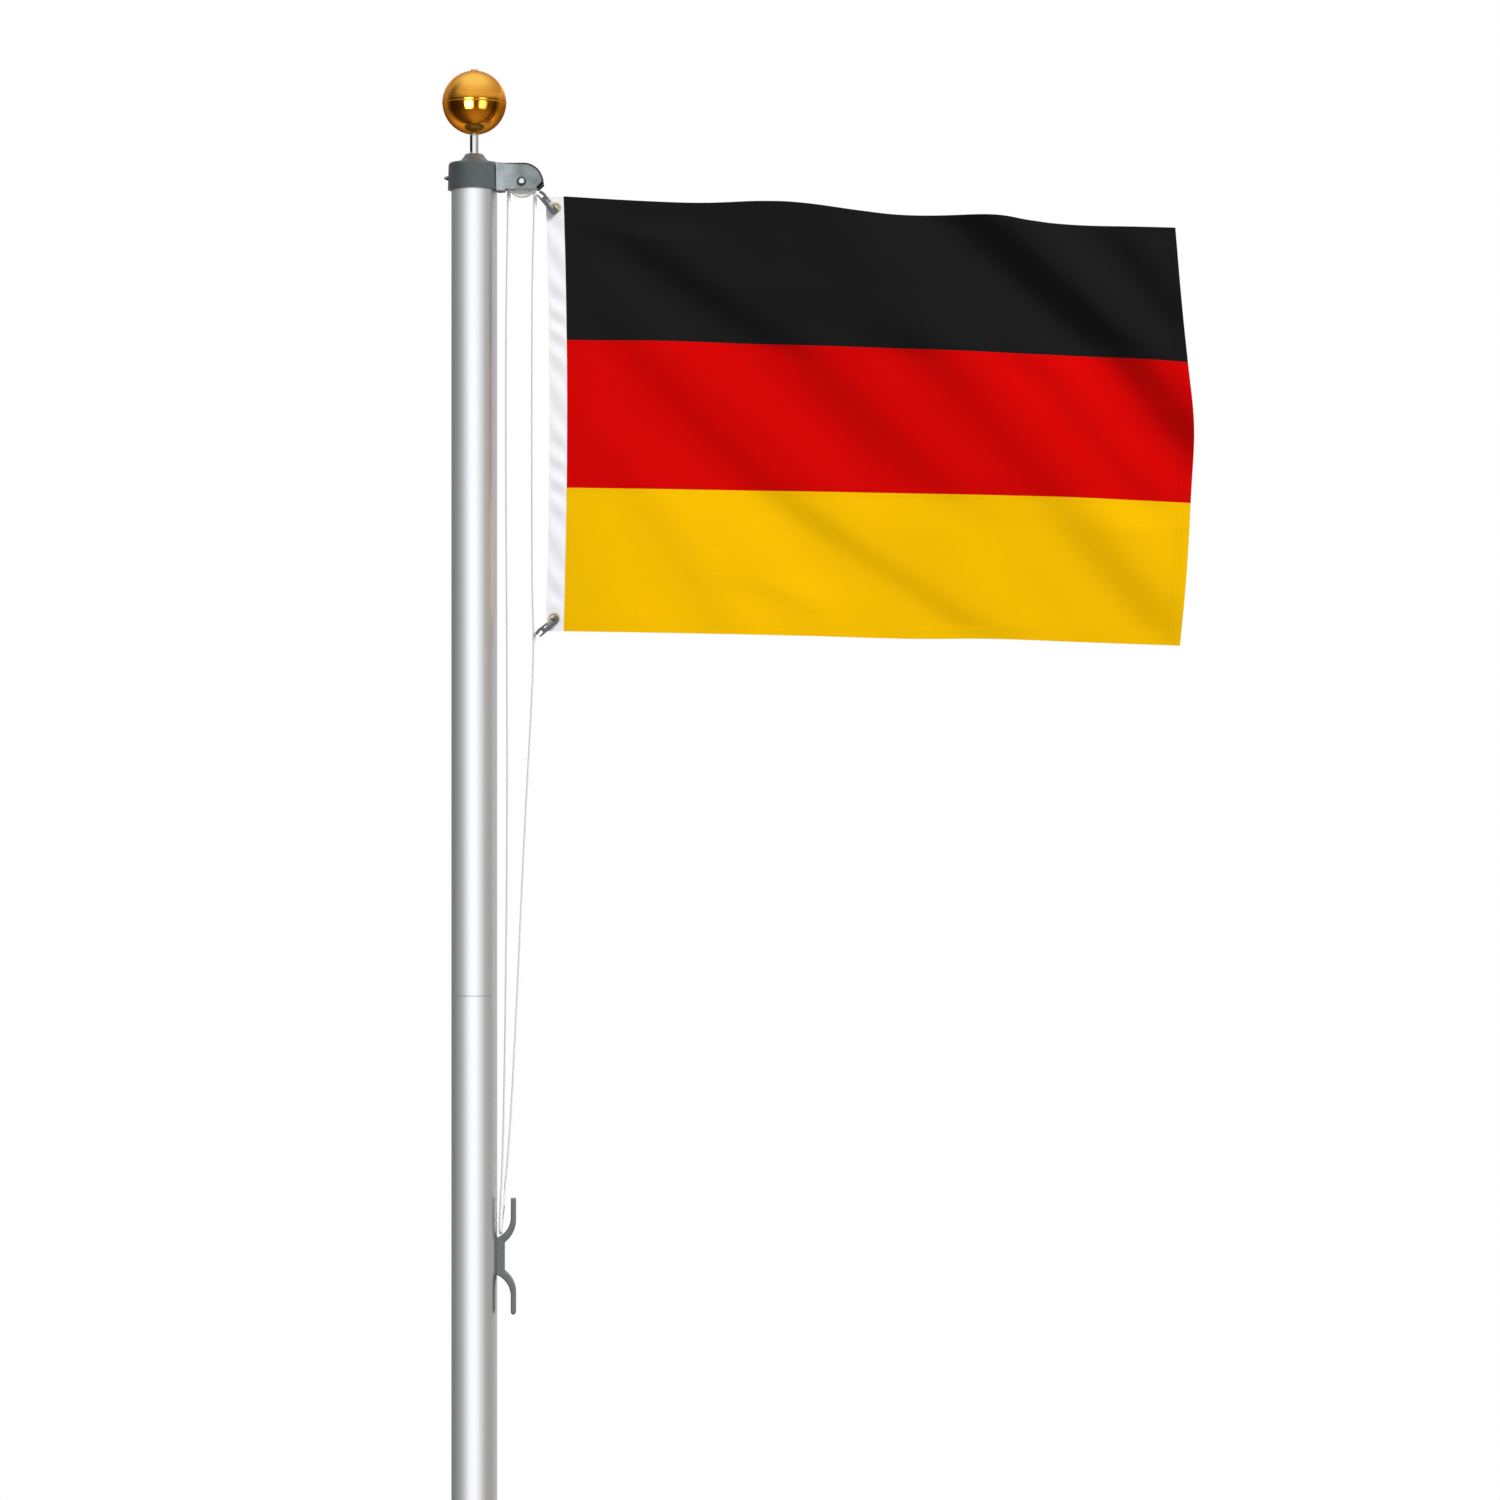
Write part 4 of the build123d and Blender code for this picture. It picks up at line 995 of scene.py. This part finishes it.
class FLAGPOLE_OT_studio(bpy.types.Operator):
    """Make the camera, the lights, the floor and the world"""
    bl_idname = "flagpole.studio"
    bl_label = "Studio"

    def execute(self, context):
        look = context.scene.studio_look
        self.camera(context, look)
        self.world(context)
        self.floor()
        self.backdrop()
        self.lights()
        context.scene.view_settings.view_transform = "Standard"
        return {"FINISHED"}

    def camera(self, context, look):
        """A level camera opposite the picture's middle, far enough for the photograph's slight look-up."""
        half = look.picture / 2
        x = (half - look.pole_px[0]) * look.scale
        z = CAD_HIGH.z - (half - look.pole_px[1]) * look.scale
        data = bpy.data.cameras.new("camera")
        data.sensor_width = 36.0
        data.lens = data.sensor_width * look.camera_distance / (look.picture * look.scale)
        data.clip_start, data.clip_end = 0.05, 200.0
        camera = bpy.data.objects.new("camera", data)
        camera.location = (x, -look.camera_distance, z)
        camera.rotation_euler = (math.radians(90), 0, 0)
        context.scene.collection.objects.link(camera)
        context.scene.camera = camera

    def world(self, context):
        """White to the camera. Shiny metal sees a room of panels, and matt surfaces a softer sky."""
        world = bpy.data.worlds.new("studio")
        world.use_nodes = True
        tree = world.node_tree
        tree.nodes.clear()
        output = tree.nodes.new("ShaderNodeOutputWorld")
        place = add_node(tree, "TexCoord")
        split = apart(tree, (place, "Generated"))
        behind = calc(tree, "MULTIPLY", (split, "Y"), -1.0)
        turn = calc(tree, "ARCTAN2", (split, "X"), behind)
        rise = calc(tree, "ARCSINE", (split, "Z"))
        white = add_node(tree, "Background", {"Color": (1, 1, 1, 1), "Strength": 1.0})
        sky = add_node(tree, "Background", {"Color": self.sky(tree, rise)})
        room = add_node(tree, "Background", {"Color": (self.room(tree, turn, rise), 2)})
        path = add_node(tree, "LightPath")
        shiny = either(tree, (path, "Is Glossy Ray"), sky, room)
        clear = calc(tree, "MAXIMUM", (path, "Is Camera Ray"), (path, "Is Transmission Ray"))
        final = either(tree, clear, shiny, white)
        tree.links.new(final.outputs[0], output.inputs["Surface"])
        context.scene.world = world

    def by_angle(self, tree, angle, stops):
        """A colour for each angle, from (degrees, grey or colour) stops between -180 and 180."""
        share = spread(tree, angle, (-math.pi, math.pi))
        return ramp(tree, share, [(degrees / 360 + 0.5, (*np.broadcast_to(tone, 3), 1)) for degrees, tone in stops])

    def sky(self, tree, rise):
        """Soft light by height: brighter overhead, dimmer from below, as off a pale floor."""
        return self.by_angle(tree, rise, [(-90, 0.38), (-25, 0.32), (5, 0.40), (40, 0.54), (90, 0.66)])

    def room(self, tree, turn, rise):
        """What shiny metal sees. turn is the angle from straight in front, to the right, and rise the height.

        Round the horizon it is a broad bright panel in front, cool at its left, and darker to the sides. Overhead
        it is a bright, cool ceiling."""
        around = self.by_angle(tree, turn,
                               [(-180, 0.46), (-144, 0.22), (-115, 0.22), (-85, 0.34), (-60, 0.5),
                                (-40, (0.79, 0.82, 0.86)), (-26, (1.16, 1.2, 1.26)), (-8, 1.34), (8, 1.34),
                                (22, 1.2), (34, 0.87), (44, (0.82, 0.8, 0.77)), (58, (0.48, 0.465, 0.44)),
                                (92, (0.42, 0.4, 0.385)), (125, 0.5), (152, 0.62), (180, 0.46)])
        grey = self.by_angle(tree, turn,
                             [(-180, 0.56), (-112, 0.5), (-98, 0.22), (-82, 0.24), (-64, 0.62), (-14, 0.96),
                              (40, 0.86), (100, 0.6), (180, 0.56)])
        over = spread(tree, rise, (math.radians(30), math.radians(75)), smooth=True)
        above = blend(tree, over, grey, (1.1, 1.4, 2.1, 1))
        higher = spread(tree, rise, (math.radians(7), math.radians(20)), smooth=True)
        walls = blend(tree, higher, around, (above, 2))
        lower = spread(tree, rise, (math.radians(-12), math.radians(-40)), smooth=True)
        return blend(tree, lower, (walls, 2), (0.12, 0.12, 0.12, 1))

    def backdrop(self):
        """A round wall and floor, 16 m across, that only the polished ball and its spindle reflect.

        For other rays, and in reflections of reflections, it is clear. To the ball it is brown below its
        middle, dark at both sides, with two lit windows in front, and pale above. To the spindle it is a
        black strip at the left. Where a ray starts says which of them it comes from."""
        centre, ball_reach = BALL_CENTRE, BALL_RADIUS + 2.0 * MM
        rod_reach = ball_reach + 22.6 * MM
        material, tree, output = new_material("backdrop")
        path = add_node(tree, "LightPath")
        place = add_node(tree, "NewGeometry")
        split = apart(tree, (place, "Incoming"))
        left = calc(tree, "MULTIPLY", (split, "X"), -1.0)
        turn = calc(tree, "ARCTAN2", left, (split, "Y"))
        fall = calc(tree, "ARCSINE", (split, "Z"))
        rise = calc(tree, "MULTIPLY", fall, -1.0)
        back = vector(tree, "SCALE", (place, "Incoming"), (path, "Ray Length"))
        start = vector(tree, "ADD", (place, "Position"), back)
        reach = vector(tree, "DISTANCE", start, (0, 0, centre))
        ball = calc(tree, "LESS_THAN", (reach, "Value"), ball_reach)
        rod = calc(tree, "LESS_THAN", (reach, "Value"), rod_reach)
        strip = self.by_angle(tree, turn, [(-178, 0), (-172, 1), (-56, 1), (-50, 0)])
        strip = calc(tree, "MULTIPLY", strip, rod)
        low = spread(tree, rise, (math.radians(21), math.radians(24)), (1.0, 0.0), smooth=True)
        near = calc(tree, "MULTIPLY", ball, low)
        seen = calc(tree, "MAXIMUM", near, strip)
        first = calc(tree, "LESS_THAN", (path, "Ray Depth"), 1.5)
        seen = calc(tree, "MULTIPLY", seen, first)
        view = blend(tree, ball, (0.012, 0.012, 0.012, 1), (self.brown(tree, turn, rise), 2))
        glow = add_node(tree, "Emission", {"Color": (view, 2)})
        nothing = add_node(tree, "BsdfTransparent")
        shader = either(tree, seen, nothing, glow)
        finish_surface(tree, output, shader)
        wall = self.rings("backdrop", [8.0, 8.0, 0.0], [7.0, -0.05, -0.05], 72, material)
        self.hide(wall, ("camera", "diffuse", "transmission", "shadow", "volume_scatter"))

    def brown(self, tree, turn, rise):
        """What the ball sees: brown by turn and rise, two windows, and a pale upper edge."""
        across = self.by_angle(tree, turn,
                               [(-180, 0.42), (-158, 0.44), (-120, 0.9), (-104, 0.3), (-92, 0.07), (-62, 0.1),
                                (-40, 0.22), (-14, 0.46), (10, 0.5), (40, 0.45), (70, 0.32), (84, 0.08),
                                (96, 0.3), (112, 0.9), (158, 0.5), (180, 0.42)])
        down = self.by_angle(tree, rise,
                             [(-90, 0.8), (-60, 1.05), (-38, 0.85), (-24, 0.52), (-14, 0.36), (-4, 0.4), (8, 0.58)])
        tint = vector(tree, "MULTIPLY", across, down)
        tint = vector(tree, "MULTIPLY", tint, (1.0, 0.72, 0.3))
        panes = self.by_angle(tree, turn,
                              [(-35, 0), (-30, 0.25), (-26, 1), (-8, 1), (-4, 0.25), (2, 0), (17, 0),
                               (22, 0.06), (27, 0.2), (40, 0.2), (46, 0.06), (54, 0)])
        high = self.by_angle(tree, rise, [(-29, 0), (-19, 1), (-5, 1), (6, 0)])
        panes = vector(tree, "MULTIPLY", panes, high)
        panes = vector(tree, "MULTIPLY", panes, (26.0, 26.0, 26.0))
        glow = vector(tree, "ADD", tint, panes)
        pale = self.by_angle(tree, turn,
                             [(-180, 0.7), (-166, 1.1), (-146, 0.6), (-112, 0.4), (-98, 0.2), (-80, 0.18),
                              (-60, 0.42), (-14, 0.92), (40, 0.84), (100, 0.7), (146, 0.85), (166, 1.8), (180, 0.7)])
        edge = spread(tree, rise, (math.radians(7), math.radians(21)))
        return blend(tree, edge, glow, pale)

    def rings(self, name, radii, heights, columns, material):
        """A stage piece of rings about the pole's axis, in metres."""
        turn = np.linspace(0, 2 * np.pi, columns, endpoint=False)
        reach, height = np.array(radii)[:, None], np.array(heights)[:, None]
        points = np.stack([reach * np.cos(turn), reach * np.sin(turn), height + 0 * turn], axis=-1)
        return grid_piece(name, points, material, wrap_columns=True)

    def hide(self, piece, rays):
        """Hide a stage piece from some kinds of ray."""
        for kind in rays:
            setattr(piece, "visible_" + kind, False)

    def floor(self):
        """A round pale floor that fades to nothing at its rim. The photograph's view doesn't reach it."""
        material, tree, output = new_material("pale_floor")
        place = add_node(tree, "TexCoord")
        reach = vector(tree, "LENGTH", (place, "Object"))
        fade = spread(tree, (reach, "Value"), (0.6, 4.2), smooth=True)
        solid = add_node(tree, "BsdfDiffuse", {"Color": (0.93, 0.93, 0.93, 1)})
        nothing = add_node(tree, "BsdfTransparent")
        shader = either(tree, fade, solid, nothing)
        finish_surface(tree, output, shader)
        floor = self.rings("floor", [0.0, 1.5, 4.5], [0.0, 0.0, 0.0], 96, material)
        self.hide(floor, ("diffuse", "glossy"))

    def lights(self):
        """A soft key from the upper right, low across the cloth so that its folds show, and three weak lamps."""
        for name, place, aim, size, power in (("key", (11.0, -8.6, 14.2), (0.5, 0, 2.4), 6.2, 3720.0),
                                              ("fill", (-3.0, -4.6, 2.6), (0.3, 0, 2.0), 2.6, 14.0),
                                              ("side", (-7.0, -1.2, 3.2), (0.0, 0, 2.6), 2.6, 60.0),
                                              ("back", (-1.5, 6.0, 3.6), (0.5, 0, 2.3), 3.0, 150.0)):
            data = bpy.data.lights.new(name, "AREA")
            data.shape = "SQUARE"
            data.size = size
            data.energy = power
            lamp = bpy.data.objects.new(name, data)
            lamp.location = place
            lamp.rotation_euler = (Vector(aim) - Vector(place)).to_track_quat("-Z", "Y").to_euler()
            lamp.visible_glossy = False
            bpy.context.scene.collection.objects.link(lamp)


class FLAGPOLE_PT_panel(bpy.types.Panel):
    """Lists the steps in the order that they run"""
    bl_label = "Flagpole"
    bl_idname = "FLAGPOLE_PT_panel"
    bl_space_type = "VIEW_3D"
    bl_region_type = "UI"
    bl_category = "Flagpole"

    def draw(self, context):
        for step in STEPS:
            self.layout.operator(step.bl_idname, text=step.bl_label)
        for group in ("pole_look", "rope_look", "flag_look", "studio_look"):
            look = getattr(context.scene, group)
            box = self.layout.box()
            for name in look.bl_rna.properties.keys():
                if name not in ("rna_type", "name"):
                    box.prop(look, name)


LOOKS = {"pole_look": PoleLook, "rope_look": RopeLook, "flag_look": FlagLook, "studio_look": StudioLook}
STEPS = (FLAGPOLE_OT_studio, FLAGPOLE_OT_halyard, FLAGPOLE_OT_tubes, FLAGPOLE_OT_truck, FLAGPOLE_OT_finial,
         FLAGPOLE_OT_fittings, FLAGPOLE_OT_flag)


def register():
    for group in LOOKS.values():
        bpy.utils.register_class(group)
    for name, group in LOOKS.items():
        setattr(bpy.types.Scene, name, PointerProperty(type=group))
    for step in STEPS + (FLAGPOLE_PT_panel,):
        bpy.utils.register_class(step)


def unregister():
    for step in reversed(STEPS + (FLAGPOLE_PT_panel,)):
        bpy.utils.unregister_class(step)
    for name, group in reversed(LOOKS.items()):
        delattr(bpy.types.Scene, name)
        bpy.utils.unregister_class(group)


def main():
    """Register everything and make every piece."""
    register()
    bpy.ops.flagpole.studio()
    bpy.ops.flagpole.halyard()
    bpy.ops.flagpole.tubes()
    bpy.ops.flagpole.truck()
    bpy.ops.flagpole.finial()
    bpy.ops.flagpole.fittings()
    bpy.ops.flagpole.flag()


if __name__ == "__main__":
    main()
